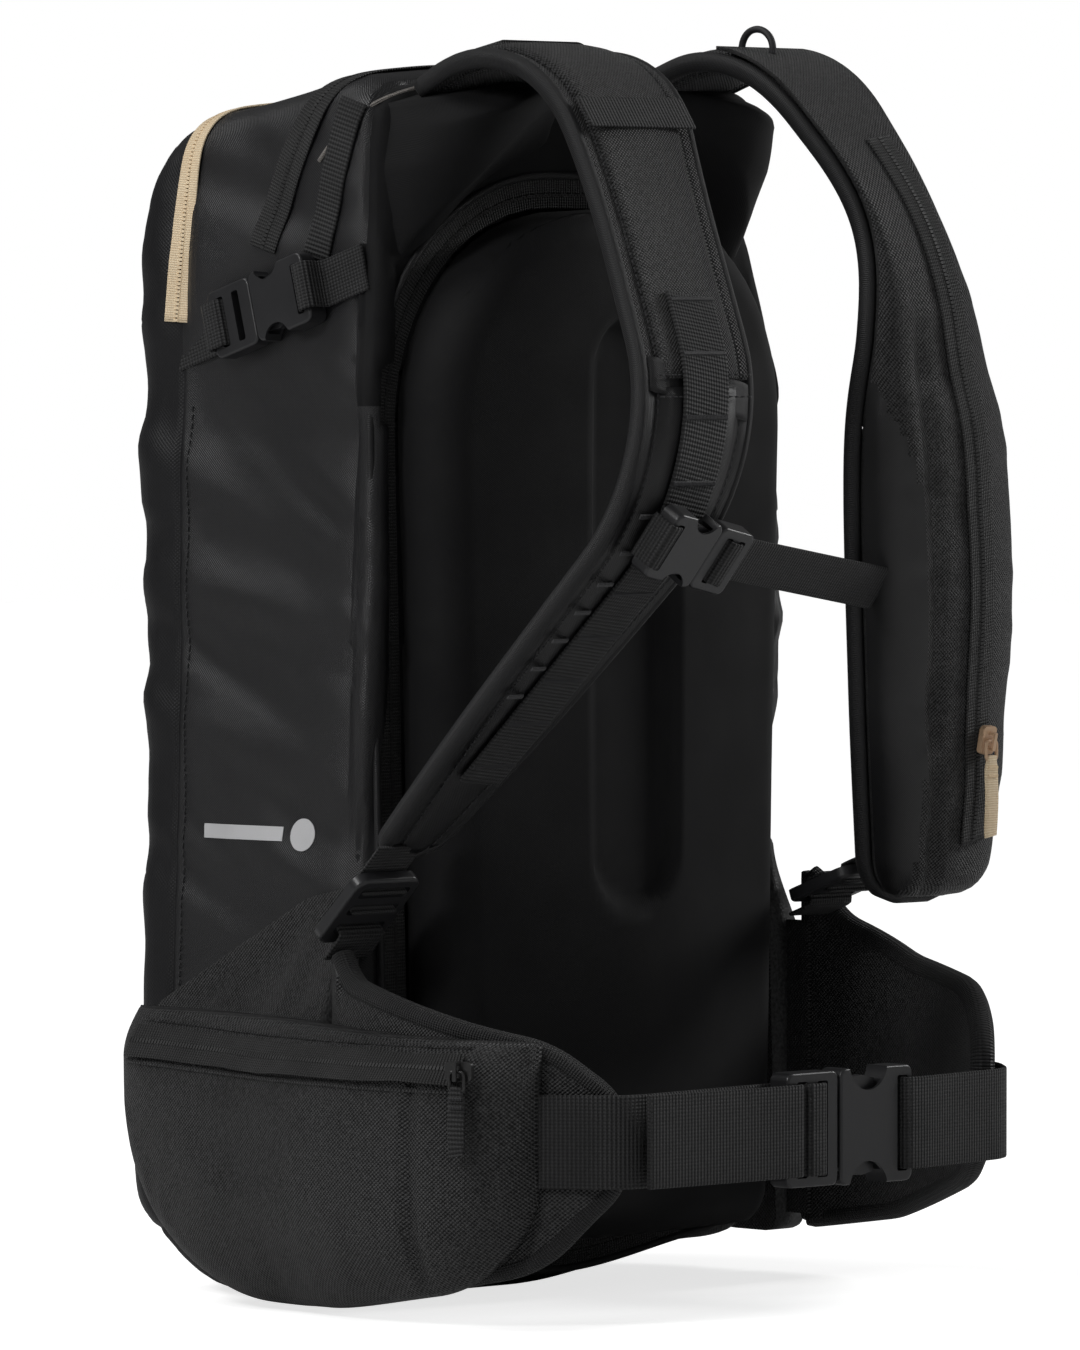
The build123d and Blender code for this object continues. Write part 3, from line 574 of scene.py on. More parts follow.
# ---- camera, light and floor --------------------------------------------------------------
def studio():
    bpy.context.scene.view_settings.view_transform = "Standard"
    target = Vector((-0.0095, -0.0605, 0.258))
    azimuth, pitch, distance = math.radians(-45), math.radians(1.8), 4.2
    back = Vector((math.sin(azimuth) * math.cos(pitch), -math.cos(azimuth) * math.cos(pitch),
                   math.sin(pitch)))
    camera = bpy.data.cameras.new("camera")
    camera.sensor_fit = "VERTICAL"
    camera.sensor_height = 24
    camera.lens = 12 / (0.2834 / distance)
    rig = placed("camera", camera)
    rig.location = target + back * distance
    rig.rotation_euler = (-back).to_track_quat("-Z", "Y").to_euler()
    bpy.context.scene.camera = rig

    def lamp(name, where, power, size, color=(1, 1, 1)):
        light = bpy.data.lights.new(name, "AREA")
        light.energy, light.size, light.color = power, size, color
        obj = placed(name, light)
        obj.location = where
        aim = Vector((0, -0.05, 0.27)) - Vector(where)
        obj.rotation_euler = aim.to_track_quat("-Z", "Y").to_euler()

    lamp("key", (-2.3, -0.1, 1.7), 22, 0.6)
    lamp("front", (-0.6, -2.6, 1.4), 3.5, 1.2)
    lamp("rim", (2.2, -0.9, 1.5), 24, 0.7)
    sun = bpy.data.lights.new("sun", "SUN")
    sun.energy, sun.angle = 1.0, math.radians(35)
    obj = placed("sun", sun)
    obj.rotation_euler = Vector((0.45, -0.5, -1.0)).to_track_quat("-Z", "Y").to_euler()
    world = bpy.data.worlds.new("world")
    bpy.context.scene.world = world
    world.use_nodes = True
    tree = world.node_tree
    seen, soft = tree.nodes["Background"], tree.nodes.new("ShaderNodeBackground")
    seen.inputs[0].default_value = soft.inputs[0].default_value = (1, 1, 1, 1)
    soft.inputs[1].default_value = 0.11
    mix, rays = tree.nodes.new("ShaderNodeMixShader"), tree.nodes.new("ShaderNodeLightPath")
    tree.links.new(rays.outputs["Is Camera Ray"], mix.inputs[0])
    tree.links.new(soft.outputs[0], mix.inputs[1])
    tree.links.new(seen.outputs[0], mix.inputs[2])
    tree.links.new(mix.outputs[0], tree.nodes["World Output"].inputs[0])
    mesh = bpy.data.meshes.new("floor")
    z = -0.0005
    mesh.from_pydata([(-9, -9, z), (9, -9, z), (9, 9, z), (-9, 9, z)], [], [(0, 1, 2, 3)])
    floor = placed("floor", mesh)
    mat, tree, bsdf = shader("floor", (0.75, 0.75, 0.75), 0.9, Emission_Color=(1, 1, 1, 1))
    seen = tree.nodes.new("ShaderNodeLightPath")
    glow = mul(tree, seen.outputs["Is Camera Ray"], 0.74)
    tree.links.new(glow, bsdf.inputs["Emission Strength"])
    mesh.materials.append(mat)


studio()


# ---- the bag ------------------------------------------------------------------------------

def offset_closed(points, amount):
    """A closed clockwise or anticlockwise outline moved outwards by amount."""
    area = 0.5 * np.sum(points[:, 0] * np.roll(points[:, 1], -1) - np.roll(points[:, 0], -1) * points[:, 1])
    t = np.roll(points, -1, 0) - np.roll(points, 1, 0)
    t /= np.linalg.norm(t, axis=1, keepdims=True)
    out = np.stack([t[:, 1], -t[:, 0]], 1) * (1 if area > 0 else -1)
    return points + out * amount


def raw_object(name, verts, faces):
    mesh = bpy.data.meshes.new(name)
    mesh.from_pydata((np.asarray(verts, float) * MM).tolist(), [], [list(map(int, f)) for f in faces])
    obj = placed(name, mesh)
    return obj


def bag_form(name, skin=0.0):
    """The bag's closed outer form, as the CAD has it."""
    outline = rounded(PROFILE, PROFILE_ROUND, closed=True, step=6.0)
    r = EDGE_ROUND
    turns = np.linspace(0, math.pi / 2, 6)
    verts = []
    for side, a in [(-1, a) for a in turns] + [(1, a) for a in turns[::-1]]:
        depth, inset = r * (1 - math.sin(math.pi / 2 - a)), r * (1 - math.cos(math.pi / 2 - a))
        loop = offset_closed(outline, skin - inset)
        x = side * (SIDE_X + skin - SIDE_LEAN * loop[:, 1] - depth)
        verts.append(np.column_stack([x, loop]))
    n = len(outline)
    faces = tube_faces(len(verts), n)
    obj = raw_object(name, np.vstack(verts), faces)
    fix_normals(obj)
    return obj


def fix_normals(obj):
    bm = bmesh.new()
    bm.from_mesh(obj.data)
    bmesh.ops.recalc_face_normals(bm, faces=bm.faces)
    bm.to_mesh(obj.data)
    bm.free()
    obj.data.update()


def door_outline(grow, step=5.0):
    return offset_closed(rounded(DOOR, DOOR_ROUND, closed=True, step=step), grow)


def prism(name, outline_xz, y_from, y_to):
    n = len(outline_xz)
    verts = [(x, y, z) for y in (y_from, y_to) for x, z in outline_xz]
    faces = grid_faces(2, n, False, True).tolist() + [list(range(n))[::-1], list(range(n, 2 * n))]
    obj = raw_object(name, verts, faces)
    fix_normals(obj)
    return obj


def cut_away(obj, tool):
    mod = obj.modifiers.new("cut", "BOOLEAN")
    mod.operation = "DIFFERENCE"
    mod.solver = "EXACT"
    mod.object = tool
    evaluated(obj)
    bpy.data.objects.remove(tool)
    return obj


def cut_lines(obj, *planes):
    """Adds edges where planes, as (point, normal) in millimetres, cross a mesh."""
    bm = bmesh.new()
    bm.from_mesh(obj.data)
    for point, normal in planes:
        geom = bm.verts[:] + bm.edges[:] + bm.faces[:]
        bmesh.ops.bisect_plane(bm, geom=geom, plane_co=Vector(point) * MM, plane_no=Vector(normal),
                               dist=1e-5)
    bm.to_mesh(obj.data)
    bm.free()
    obj.data.update()


def split_off(obj, name, keep):
    """Moves the faces whose centres pass the test to a new object."""
    centre = np.array([f.center for f in obj.data.polygons]) / MM
    chosen = keep(centre)
    parts = []
    for flag in (True, False):
        bm = bmesh.new()
        bm.from_mesh(obj.data)
        bm.faces.ensure_lookup_table()
        drop = [bm.faces[int(i)] for i in np.nonzero(chosen != flag)[0]]
        bmesh.ops.delete(bm, geom=drop, context="FACES")
        mesh = bpy.data.meshes.new(name)
        bm.to_mesh(mesh)
        bm.free()
        for mat in obj.data.materials:
            mesh.materials.append(mat)
        parts.append(mesh)
    obj.data = parts[1]
    made = placed(name, parts[0])
    return made


def surface_tree(obj):
    """A search tree over an object's mesh, in metres."""
    mesh = obj.data
    return BVHTree.FromPolygons([v.co.copy() for v in mesh.vertices],
                                [list(p.vertices) for p in mesh.polygons])


def drape(tree, points, directions, lift=0.0, start=60.0):
    """Where rays from outside meet a surface: places and normals, in millimetres."""
    places, normals = [], []
    for p, d in zip(np.asarray(points, float), np.asarray(directions, float)):
        d = Vector(d).normalized()
        hit, normal, _, _ = tree.ray_cast((Vector(p) + d * start) * MM, -d)
        if hit is None:
            hit, normal, _, _ = tree.find_nearest(Vector(p) * MM)
        if normal.dot(d) < 0:
            normal = -normal
        places.append(np.array(hit) / MM + np.array(normal) * lift)
        normals.append(np.array(normal))
    return np.array(places), np.array(normals)


def soften(line, rounds=2):
    line = np.array(line)
    for _ in range(rounds):
        line[1:-1] = 0.25 * line[:-2] + 0.5 * line[1:-1] + 0.25 * line[2:]
    return line


def seam_dent(p, distance, mask, depth, width):
    """How far a seam pulls the cloth in, from the distance to its line."""
    return depth * np.exp(-(distance / width) ** 2) * mask


YOKE_FACE_Y = -60.0


def bag_wrinkles(p):
    """Outward movement of the cloth in millimetres at points p."""
    x, y, z = p.T
    side = step01(np.abs(x), 96, 108)
    folds = noise(np.column_stack([x * 0, y * 0.5 + z * 0.35, (z - y * 0.28) * 2.4]), 50.0)
    crease = noise(np.column_stack([x * 0 + 40, y * 0.45 + z * 0.2, (z - y * 0.5) * 2.0]), 24.0)
    crease = np.sign(crease) * np.abs(crease) ** 0.7
    slow = noise(p, 110.0)
    middle = step01(z, 130, 190) * (1 - 0.55 * step01(z, 300, 420))
    body = side * (2.4 * folds + 1.5 * crease * middle + 1.4 * slow)
    strap = z - (412 - 0.30 * y)
    cinch = -2.6 * np.exp(-(strap / 13) ** 2) * side * step01(y, -70, -40) * (1 - step01(y, 18, 44))
    puff = 2.2 * side * step01(z, 380, 440) * step01(-z, -500, -440)
    body = body + cinch + puff
    front = step01(y, 50, 66) * (2.0 * slow + 1.0 * noise(p * (1, 1, 0.4), 40.0))
    top = step01(z, 470, 490) * 1.6 * noise(p * (0.5, 1.4, 1), 34.0)
    edge = 1 - step01(np.abs(y - 44), 0, 9)
    fill = ((1.6 + 2.4 * step01(z, 230, 330)) * step01(y, -10, 62)
            + 2.6 * step01(y, 46, 60) * step01(np.abs(x), 84, 100))
    fill += (1.6 * np.exp(-((z - 350) / 36) ** 2) - 1.8 * step01(z, 396, 424)) * step01(y, 20, 60)
    return ((body + front + top) * (1 - 0.8 * edge) + fill) * step01(z, 4, 40)


def base_lift(p):
    """The empty left side of the base sags less than the right: how far it stands off the floor."""
    return 13.0 * step01(p[:, 0], -10, 100) * (1 - step01(p[:, 2], 10, 90))


def build_bag():
    bag = bag_form("bag_cloth")
    cavity = prism("cavity", door_outline(-1.0), -95.0, 28.0)
    cut_away(bag, cavity)
    remesh(bag, 4.0, 4)
    cuts = []
    for d in (-3.2, -1.4, 0, 1.4, 3.2):
        cuts += [((0, 44 + d, 0), (0, 1, 0)), ((0, 0, 26 + d), (0, 0, 1)),
                 ((0, YOKE_FACE_Y + d, 0), (0, 1, 0))]
    for d in (-1.2, 1.2):
        cuts += [((0, 0, 372 + d), (0, 0, 1))]
    cut_lines(bag, *cuts)
    p = get_co(bag) / MM
    normals = get_normals(bag)
    x, y, z = p.T
    outside = (np.abs(normals[:, 0]) > 0.5) | (normals[:, 1] > 0.3) | (normals[:, 2] > 0.3)
    outside = outside & (np.abs(x) > 60) | (y > 40) | (normals[:, 2] > 0.3) & (z > 400)
    inside = (np.abs(x) < 103) & (y < 27) & (z < 449) & (z > 22)
    move = np.where(outside & ~inside, bag_wrinkles(p), 0)
    on_front = step01(z, 30, 40) * (1 - step01(z, 384, 396))
    corner = step01(np.abs(normals[:, 0]), 0.25, 0.7) * step01(-normals[:, 1], 0.2, 0.7) * (y < -50)
    move += 15.0 * corner * step01(z, 180, 270) * (1 - step01(z, 370, 460)) * (y < -58)
    move -= seam_dent(p, y - 44, on_front, 1.3, 1.6)
    move -= seam_dent(p, z - 26, step01(np.abs(x), 60, 100), 1.0, 1.6)
    move -= seam_dent(p, y - YOKE_FACE_Y, step01(z, 380, 400) * ~inside, 1.2, 1.6)
    p = p + normals * move[:, None]
    p[:, 2] -= 5.0 * step01(np.abs(p[:, 0]), 34, 120) ** 1.2 * step01(p[:, 2], 440, 500)
    p[:, 2] += base_lift(p)
    set_co(bag, p * MM)
    return bag


bag = build_bag()
bag_tree = surface_tree(bag)
yoke = split_off(bag, "yoke_cloth", lambda c: (c[:, 1] < YOKE_FACE_Y) & (c[:, 2] > 372))
base = split_off(bag, "base_cloth", lambda c: (c[:, 2] < 26) & (np.abs(c[:, 0]) < 140))
front = split_off(bag, "front_cloth", lambda c: c[:, 1] > 44)
finish_piece(bag, "nylon", "bag", ["side_panel_l", "side_panel_r", "top_panel"])
finish_piece(yoke, "softshell", "bag", ["yoke_panel"])
finish_piece(base, "base", "bag", ["base_panel"])
finish_piece(front, "ripstop", "bag", ["front_panel"])
for piece in (bag, yoke, base, front):
    box_uv(piece)


def arch_band(name, grow, section, mat, lift=0.8, step=4.0, replaces=()):
    """A band that follows the door's arch on the harness face of the bag."""
    outline = door_outline(grow, step)
    line = np.column_stack([outline[:, 0], np.full(len(outline), BACK_Y - lift), outline[:, 1]])
    line[:, 2] += base_lift(line)
    return band(name, line, (0, -1, 0), section, mat, "bag", replaces, closed=True)


def coil(name, line, normal, body, mat, width=4.6, pitch=1.9, height=0.9, lift=0.0):
    """Zip teeth: a row of small rounded bars across a line on a surface."""
    line = np.asarray(line, float)
    run = run_along(line)
    normal = np.broadcast_to(np.asarray(normal, float), line.shape)
    verts, faces = [], []
    for s in np.arange(pitch / 2, run[-1], pitch):
        p = np.array([np.interp(s, run, line[:, k]) for k in range(3)])
        q = np.array([np.interp(s + 0.2, run, line[:, k]) for k in range(3)])
        o = np.array([np.interp(s - 0.2, run, line[:, k]) for k in range(3)])
        m = unit(np.array([np.interp(s, run, normal[:, k]) for k in range(3)]))
        t = unit(q - o)
        a = unit(np.cross(t, m))
        base = len(verts)
        w, d = width / 2, pitch * 0.36
        for side, up in ((-1, 0), (-0.55, 1), (0.55, 1), (1, 0)):
            for along in (-d, d):
                verts.append(p + a * side * w + m * (lift + up * height) + t * along)
        for i in range(3):
            j = base + 2 * i
            faces.append((j, j + 1, j + 3, j + 2))
        faces.append((base + 0, base + 2, base + 4, base + 6))
        faces.append((base + 7, base + 5, base + 3, base + 1))
        faces.append((base + 6, base + 7, base + 1, base + 0))
    return mesh_object(name, verts, faces, mat, None, body, smooth=False)


def build_back_zip():
    arch_band("back_zip_tape_outer", 10.6, flat_section(7.0, 1.2), "zip", 0.9,
              replaces=["back_zip_tape"])
    arch_band("back_zip_tape_inner", 4.2, flat_section(5.6, 1.2), "zip", 0.9)
    outline = door_outline(7.2, 3.0)
    outline = np.vstack([outline, outline[:1]])
    line = np.column_stack([outline[:, 0], np.full(len(outline), BACK_Y - 0.6), outline[:, 1]])
    line[:, 2] += base_lift(line)
    coil("back_zip_coil", line, (0, -1, 0), "bag", "zip", 3.6)
    arch_band("back_zip_piping", 15.2, round_section(1.7), "binding", 0.9)


build_back_zip()


# ---- the padded door ----------------------------------------------------------------------
def door_height(x, z):
    """How far the cover's face stands from y = 0 towards the wearer."""
    crown = -109 + 480 - np.sqrt(480.0**2 - x**2)
    slot_z = np.clip(z, 185, 385)
    from_slot = np.hypot(x, z - slot_z) - 25
    channel = 1 - step01(from_slot, -4.5, 1.5)
    return crown * (1 - channel) + channel * np.maximum(crown, -101.5)


def close_mesh(obj, dist=2e-5):
    """Welds a new mesh, fills what is open and turns its faces outwards."""
    bm = bmesh.new()
    bm.from_mesh(obj.data)
    bmesh.ops.remove_doubles(bm, verts=bm.verts, dist=dist)
    bmesh.ops.holes_fill(bm, edges=[e for e in bm.edges if e.is_boundary], sides=0)
    bmesh.ops.recalc_face_normals(bm, faces=bm.faces)
    bm.to_mesh(obj.data)
    bm.free()
    obj.data.update()
    shade_smooth(obj)
    return obj


def build_door():
    rim = rounded(DOOR, DOOR_ROUND, closed=True, step=1.5)
    low, high = rim[:, 1].min(), rim[:, 1].max()
    t = np.linspace(0, math.pi, 121)
    rows = (low + high) / 2 - (high - low) / 2 * (0.75 * np.cos(t) + 0.25 * (1 - 2 * t / math.pi))
    right = rim[rim[:, 0] > 0]
    right = right[np.argsort(right[:, 1])]
    width = np.interp(rows, right[:, 1], right[:, 0])
    s = np.linspace(-math.pi / 2, math.pi / 2, 81)
    across = 0.6 * np.sin(s) + 0.4 * s / (math.pi / 2)
    x = width[:, None] * across[None]
    z = np.repeat(rows[:, None], len(s), 1)
    flat = np.stack([x.ravel(), z.ravel()], 1)
    edge = np.min(np.linalg.norm(flat[:, None] - rim[None], axis=2), axis=1)
    roll = 12.0 * (1 - np.sqrt(np.clip(1 - (1 - np.clip(edge / 14, 0, 1)) ** 2, 0, 1)))
    y = door_height(flat[:, 0], flat[:, 1]) + roll + 0.6 * noise(np.column_stack([flat, flat[:, 0] * 0]),
                                                                 55.0)
    face = np.column_stack([flat[:, 0] * 0.99, y, flat[:, 1]])
    r, c = x.shape
    faces = grid_faces(r, c).tolist()
    index = np.array(rim_loop(r, c))
    verts, uv = [face], [flat]
    last = index
    for h, bulge in ((0.35, 0.9), (0.7, 0.6), (1.0, -0.6)):
        ring = face[index].copy()
        out = flat[index]
        ring[:, 1] = ring[:, 1] * (1 - h) - 70.8 * h
        ring[:, [0, 2]] = offset_loop(out, bulge)
        start = sum(len(v) for v in verts)
        verts.append(ring)
        uv.append(out + np.array([0, 1]) * h * 20)
        now = np.arange(start, start + len(index))
        faces += [(last[k], last[(k + 1) % len(index)], now[(k + 1) % len(index)], now[k])
                  for k in range(len(index))]
        last = now
    faces.append(list(last))
    obj = mesh_object("door_cover", np.vstack(verts), faces, "softshell", np.vstack(uv) * MM, "back_door",
                      ["back_panel_cover", "back_foam", "frame_sheet", "frame_stay"])
    close_mesh(obj)
    return obj


def offset_loop(points, amount):
    """Points of the door's rim moved outwards from its upright middle line."""
    spread = points - np.column_stack([points[:, 0] * 0, np.clip(points[:, 1], 110, 370)])
    return points + unit(spread) * amount


door = build_door()


# ---- shoulder straps ----------------------------------------------------------------------
class Strap:
    """A strap's middle line: place, outward direction, middle and half width at every step."""

    def __init__(self, path, bends, table, side, end_round, step=3.5):
        self.side = side
        self.yz = rounded(path, bends, step=step)
        t = np.gradient(self.yz, axis=0)
        t /= np.linalg.norm(t, axis=1, keepdims=True)
        self.out = np.column_stack([t[:, 1], -t[:, 0]])
        self.run = run_along(self.yz)
        rows = smooth_table(table)
        self.middle = np.interp(self.yz[:, 1], rows[:, 0], rows[:, 1])
        half = np.interp(self.yz[:, 1], rows[:, 0], rows[:, 2])
        to_end = np.clip(end_round - (self.run[-1] - self.run), 0, end_round)
        self.half = half - end_round + np.sqrt(np.maximum(end_round**2 - to_end**2, 0))
        self.count = len(self.yz)

    def half_at(self, index):
        return np.interp(index, np.arange(self.count), self.half)

    def run_at(self, index):
        return np.interp(index, np.arange(self.count), self.run)

    def at_run(self, run):
        """The fractional index at a distance along the strap."""
        return np.interp(run, self.run, np.arange(self.count))

    def points(self, index, x, lift):
        """3-D places; index may be fractional, x is from the strap's middle, outwards positive."""
        index, x, lift = np.broadcast_arrays(np.asarray(index, float), x, lift)
        k = np.arange(self.count)
        y, z = np.interp(index, k, self.yz[:, 0]), np.interp(index, k, self.yz[:, 1])
        oy, oz = np.interp(index, k, self.out[:, 0]), np.interp(index, k, self.out[:, 1])
        middle = np.interp(index, k, self.middle)
        return np.stack([self.side * (middle + x), y + oy * lift, z + oz * lift], -1)

    def normals(self, index):
        k = np.arange(self.count)
        index = np.asarray(index, float)
        oy, oz = np.interp(index, k, self.out[:, 0]), np.interp(index, k, self.out[:, 1])
        return unit(np.stack([oy * 0, oy, oz], -1))

    def index_at_z(self, z):
        """Index where the strap passes a height on its way down."""
        top = int(np.argmax(self.yz[:, 1]))
        zs = self.yz[top:, 1][::-1]
        return top + np.interp(z, zs, np.arange(len(zs))[::-1])


strap_r = Strap(PATH_R, BENDS_R, OUTLINE_R, -1, 9.0)
strap_l = Strap(PATH_L, BENDS_L, OUTLINE_L, 1, 18.0)


def pad_height(from_edge, full=7.0):
    """Half thickness of a bound pad at a distance from its edge: roll, stitch groove, crown."""
    d = np.asarray(from_edge, float)
    crown = 3.6 + (full - 3.6) * (1 - np.exp(-np.maximum(d - 5.5, 0) / 7.0))
    groove = 1.5 * np.exp(-((d - 7.2) / 1.3) ** 2)
    return crown - groove


def strap_body(name, strap, first, last, mat, replaces=(), wrinkle=0.35):
    """Padded strap between two indices, closed at both ends."""
    rows = np.arange(first, last + 0.01, 1.0)
    half = strap.half_at(rows)
    fraction = np.concatenate([np.linspace(-1, -0.72, 8), np.linspace(-0.6, 0.6, 11),
                               np.linspace(0.72, 1, 8)])
    verts, uv = [], []
    for r, w in zip(rows, half):
        inside = w - 2.4
        x = fraction * inside
        h = pad_height(inside - np.abs(x)) * np.minimum(1, w / 14)
        p = np.column_stack([x, np.full_like(x, r), x * 0])
        puff = wrinkle * noise(p * (1, strap.run[-1] / strap.count, 1) + strap.side * 300, 24.0)
        h = h + puff * step01(inside - np.abs(x), 8, 14)
        xs = np.concatenate([x, x[::-1]])
        hs = np.concatenate([h, -h[::-1]])
        verts.append(strap.points(r, xs, hs))
        along = strap.run_at(r)
        uv.append(np.column_stack([xs, np.full_like(xs, along)]))
    k = len(verts[0])
    faces = tube_faces(len(verts), k)
    obj = mesh_object(name, np.vstack(verts), faces, mat, np.vstack(uv) * MM, "harness",
                      replaces)
    fix_normals(obj)
    shade_smooth(obj)
    return obj


def strap_edge(strap, inset, lift, first=0.0, around=True):
    """A line that runs down one edge, round the lower end and up the other edge."""
    rows = np.arange(first, strap.count - 1 + 0.01, 1.0)
    half = strap.half_at(rows) - inset
    left = strap.points(rows, -half, lift)
    right = strap.points(rows, half, lift)
    if not around:
        return left, right
    end = np.linspace(-half[-1], half[-1], max(3, int(half[-1] / 1.5)))[1:-1]
    cap = strap.points(strap.count - 1.0, end, lift)
    line = np.vstack([left, cap, right[::-1]])
    index = np.concatenate([rows, np.full(len(cap), strap.count - 1.0), rows[::-1]])
    return line, strap.normals(index)


def ellipse(width, height, count=12):
    ang = np.linspace(0, 2 * math.pi, count, endpoint=False)
    return np.stack([np.cos(ang) * width / 2, np.sin(ang) * height / 2], 1)


def even_with(line, normals, step):
    both = np.hstack([line, normals])
    run = run_along(line)
    at = np.linspace(0, run[-1], max(3, int(run[-1] / step)))
    both = np.stack([np.interp(at, run, both[:, k]) for k in range(6)], 1)
    return both[:, :3], unit(both[:, 3:])


def build_strap(strap, letter, seam_z):
    seam = strap.index_at_z(seam_z)
    top = strap_body(f"strap_{letter}_upper", strap, 0, seam, "twill", [f"shoulder_strap_{letter}"])
    low = strap_body(f"strap_{letter}_lower", strap, seam + 0.06, strap.count - 1, "smooth")
    rows = np.linspace(seam - 2, seam + 2, 8)
    width = 2 * float(strap.half_at(seam)) - 9
    band(f"strap_{letter}_seam_core", strap.points(rows, 0, 0), strap.normals(rows),
         flat_section(width, 10.0),
         "binding", "harness")
    line, normals = even_with(*strap_edge(strap, 2.9, 0.0), 3.0)
    band(f"strap_{letter}_binding", line, normals, ellipse(5.8, 8.4), "binding", "harness")
    for face in (1, -1):
        line, normals = even_with(*strap_edge(strap, 9.4, face * 3.7), 2.0)
        stitches(f"strap_{letter}_stitch_{'outer' if face > 0 else 'inner'}", line, normals * face,
                 "harness")


build_strap(strap_r, "r", 378)
build_strap(strap_l, "l", 360)


def on_strap(strap, first, last, x, lift, step=1.0):
    rows = np.arange(first, last, step)
    line = strap.points(rows, x, lift)
    return line, strap.normals(rows)


def bartack(name, strap, index, width, lift, body="harness"):
    line = strap.points(np.full(2, index), np.array([-width / 2, width / 2]), lift)
    n = strap.normals(np.full(2, index))
    line = even(line, step=1.0)
    coil(name, line, n[0], body, "thread", 2.2, 0.8, 0.55)


def build_daisy():
    first, last = strap_r.index_at_z(412), strap_r.index_at_z(222)
    line, n = on_strap(strap_r, first, last, 0, 7.9)
    band("daisy_webbing", line, n, flat_section(25, 1.6), "webbing", "harness",
         ["harness_webbing"])
    run = np.arange(strap_r.run_at(first), strap_r.run_at(last), 24.0)
    for i, r in enumerate(run):
        bartack(f"daisy_tack_{i}", strap_r, float(strap_r.at_run(r + 2)), 24, 8.7)


build_daisy()


def build_cross_band():
    """Webbing sewn across the right strap near the shoulder, and the stitched windows by the daisy chain."""
    middle = strap_r.index_at_z(487)
    width = float(strap_r.half_at(middle)) - 5.5
    line = strap_r.points(np.full(30, middle), np.linspace(-width, width, 30), 7.3)
    n = np.tile(strap_r.normals(middle), (30, 1))
    band("strap_cross_band", line, n, flat_section(15, 1.2), "webbing", "harness")
    first = float(strap_r.run_at(strap_r.index_at_z(330)))
    for i in range(7):
        index = float(strap_r.at_run(first + i * 15.5))
        line = even(strap_r.points(np.full(2, index), np.array([13.6, 22.0]), 6.9), step=0.8)
        coil(f"daisy_window_{i}", line, strap_r.normals(index), "harness", "grey_thread", 2.4,
             0.8, 0.5)


build_cross_band()


def seam_across(strap, letter, z):
    index = strap.index_at_z(z)
    width = float(strap.half_at(index)) - 6
    for shift in (-1.2, 1.2):
        line = strap.points(np.full(30, index + shift), np.linspace(-width, width, 30), 7.0)
        stitches(f"strap_{letter}_cross_stitch_{'a' if shift < 0 else 'b'}", line,
                 np.tile(strap.normals(index), (30, 1)), "harness")


seam_across(strap_r, "r", 378)

# ---- webbing that the CAD draws on a plane ------------------------------------------------
def plane_axes(x_dir, z_dir):
    x, z = unit(np.array(x_dir, float)), unit(np.array(z_dir, float))
    x = unit(x - z * (x @ z))
    return x, np.cross(z, x), z


def webbing(name, origin, x_dir, z_dir, points, radii, width, body, replaces=(), mat="webbing", thick=1.6,
            step=2.0):
    """Webbing whose side view is a rounded line on a plane, as wide as width across that plane."""
    x, y, z = plane_axes(x_dir, z_dir)
    flat = rounded(points, radii, step=step)
    line = np.array(origin, float) + flat[:, :1] * x + flat[:, 1:] * y
    t = tangents(line)
    normal = np.cross(z, t)
    across = np.broadcast_to(z, line.shape)
    return sweep(name, line, across, normal, flat_section(width, thick), mat, body, replaces)


def mirror_piece(obj, name, body, mat, replaces=()):
    """The same piece on the other side of the bag."""
    mesh = obj.data.copy()
    made = placed(name, mesh)
    co = get_co(made)
    co[:, 0] *= -1
    set_co(made, co)
    mesh.flip_normals()
    return finish_piece(made, mat, body, replaces)


BELT_Z = 76.0
webbing("belt_r", (0, 0, BELT_Z), (1, 0, 0), (0, 0, 1),
        [(-142, -187), (-120, -219.4), (-36, -212.2), (-20, -212.2), (-20, -226.2), (-9.5, -226.2),
         (-9.5, -216)],
        [22, 6, 1.6, 1.6, 1.6], 38, "wing_r", ["belt_webbing_r"])
webbing("belt_tail", (0, 0, BELT_Z), (1, 0, 0), (0, 0, 1),
        [(-23.2, -216), (-23.2, -226.4), (-60, -225.8), (-112, -224.6)], [1.6, 60], 38, "wing_r")
webbing("belt_l", (0, 0, BELT_Z), (1, 0, 0), (0, 0, 1),
        [(136, -172), (129, -195), (108, -219), (48, -227.4), (37.5, -227.4), (37.5, -215)],
        [30, 30, 60, 1.6], 38, "wing_l", ["belt_webbing_l"])

LOCKS = {"r": ((-133.0, -84.0, 166.0), (0, -0.70, -0.71)), "l": ((120.0, -114.0, 168.0), (0, -0.34, -0.94))}
for side, (origin, face) in LOCKS.items():
    up = np.cross(unit(np.array(face, float)), (1, 0, 0))
    webbing(f"adjuster_{side}", origin, up, (1, 0, 0),
            [(1.5, 4.5), (1.5, -4.6), (-9.5, -4.6), (-9.5, 6.0), (-24, 6.0)], [1.2, 1.2, 2], 25,
            f"ladder_{side}", [f"adjuster_webbing_{side}"])
    webbing(f"strap_end_{side}", origin, up, (1, 0, 0), [(11.5, 3.0), (11.5, -4.4), (32, -4.4)], [1.4], 25,
            "harness")

JOINTS = {j["name"]: j for j in frame["joints"]}


def buckle_plane(prefix):
    """Mouth of a side release buckle: origin, and the directions along, across and outwards."""
    a, b = (np.array(JOINTS[f"{prefix}_prong_{k}_squeeze"]["pos_m"]) / MM for k in "ab")
    out = unit(np.array(JOINTS[f"{prefix}_prong_a_squeeze"]["axis"], float))
    across = unit(a - b)
    along = np.cross(across, out)
    return (a + b) / 2 - 0.9 * along, along, across, out


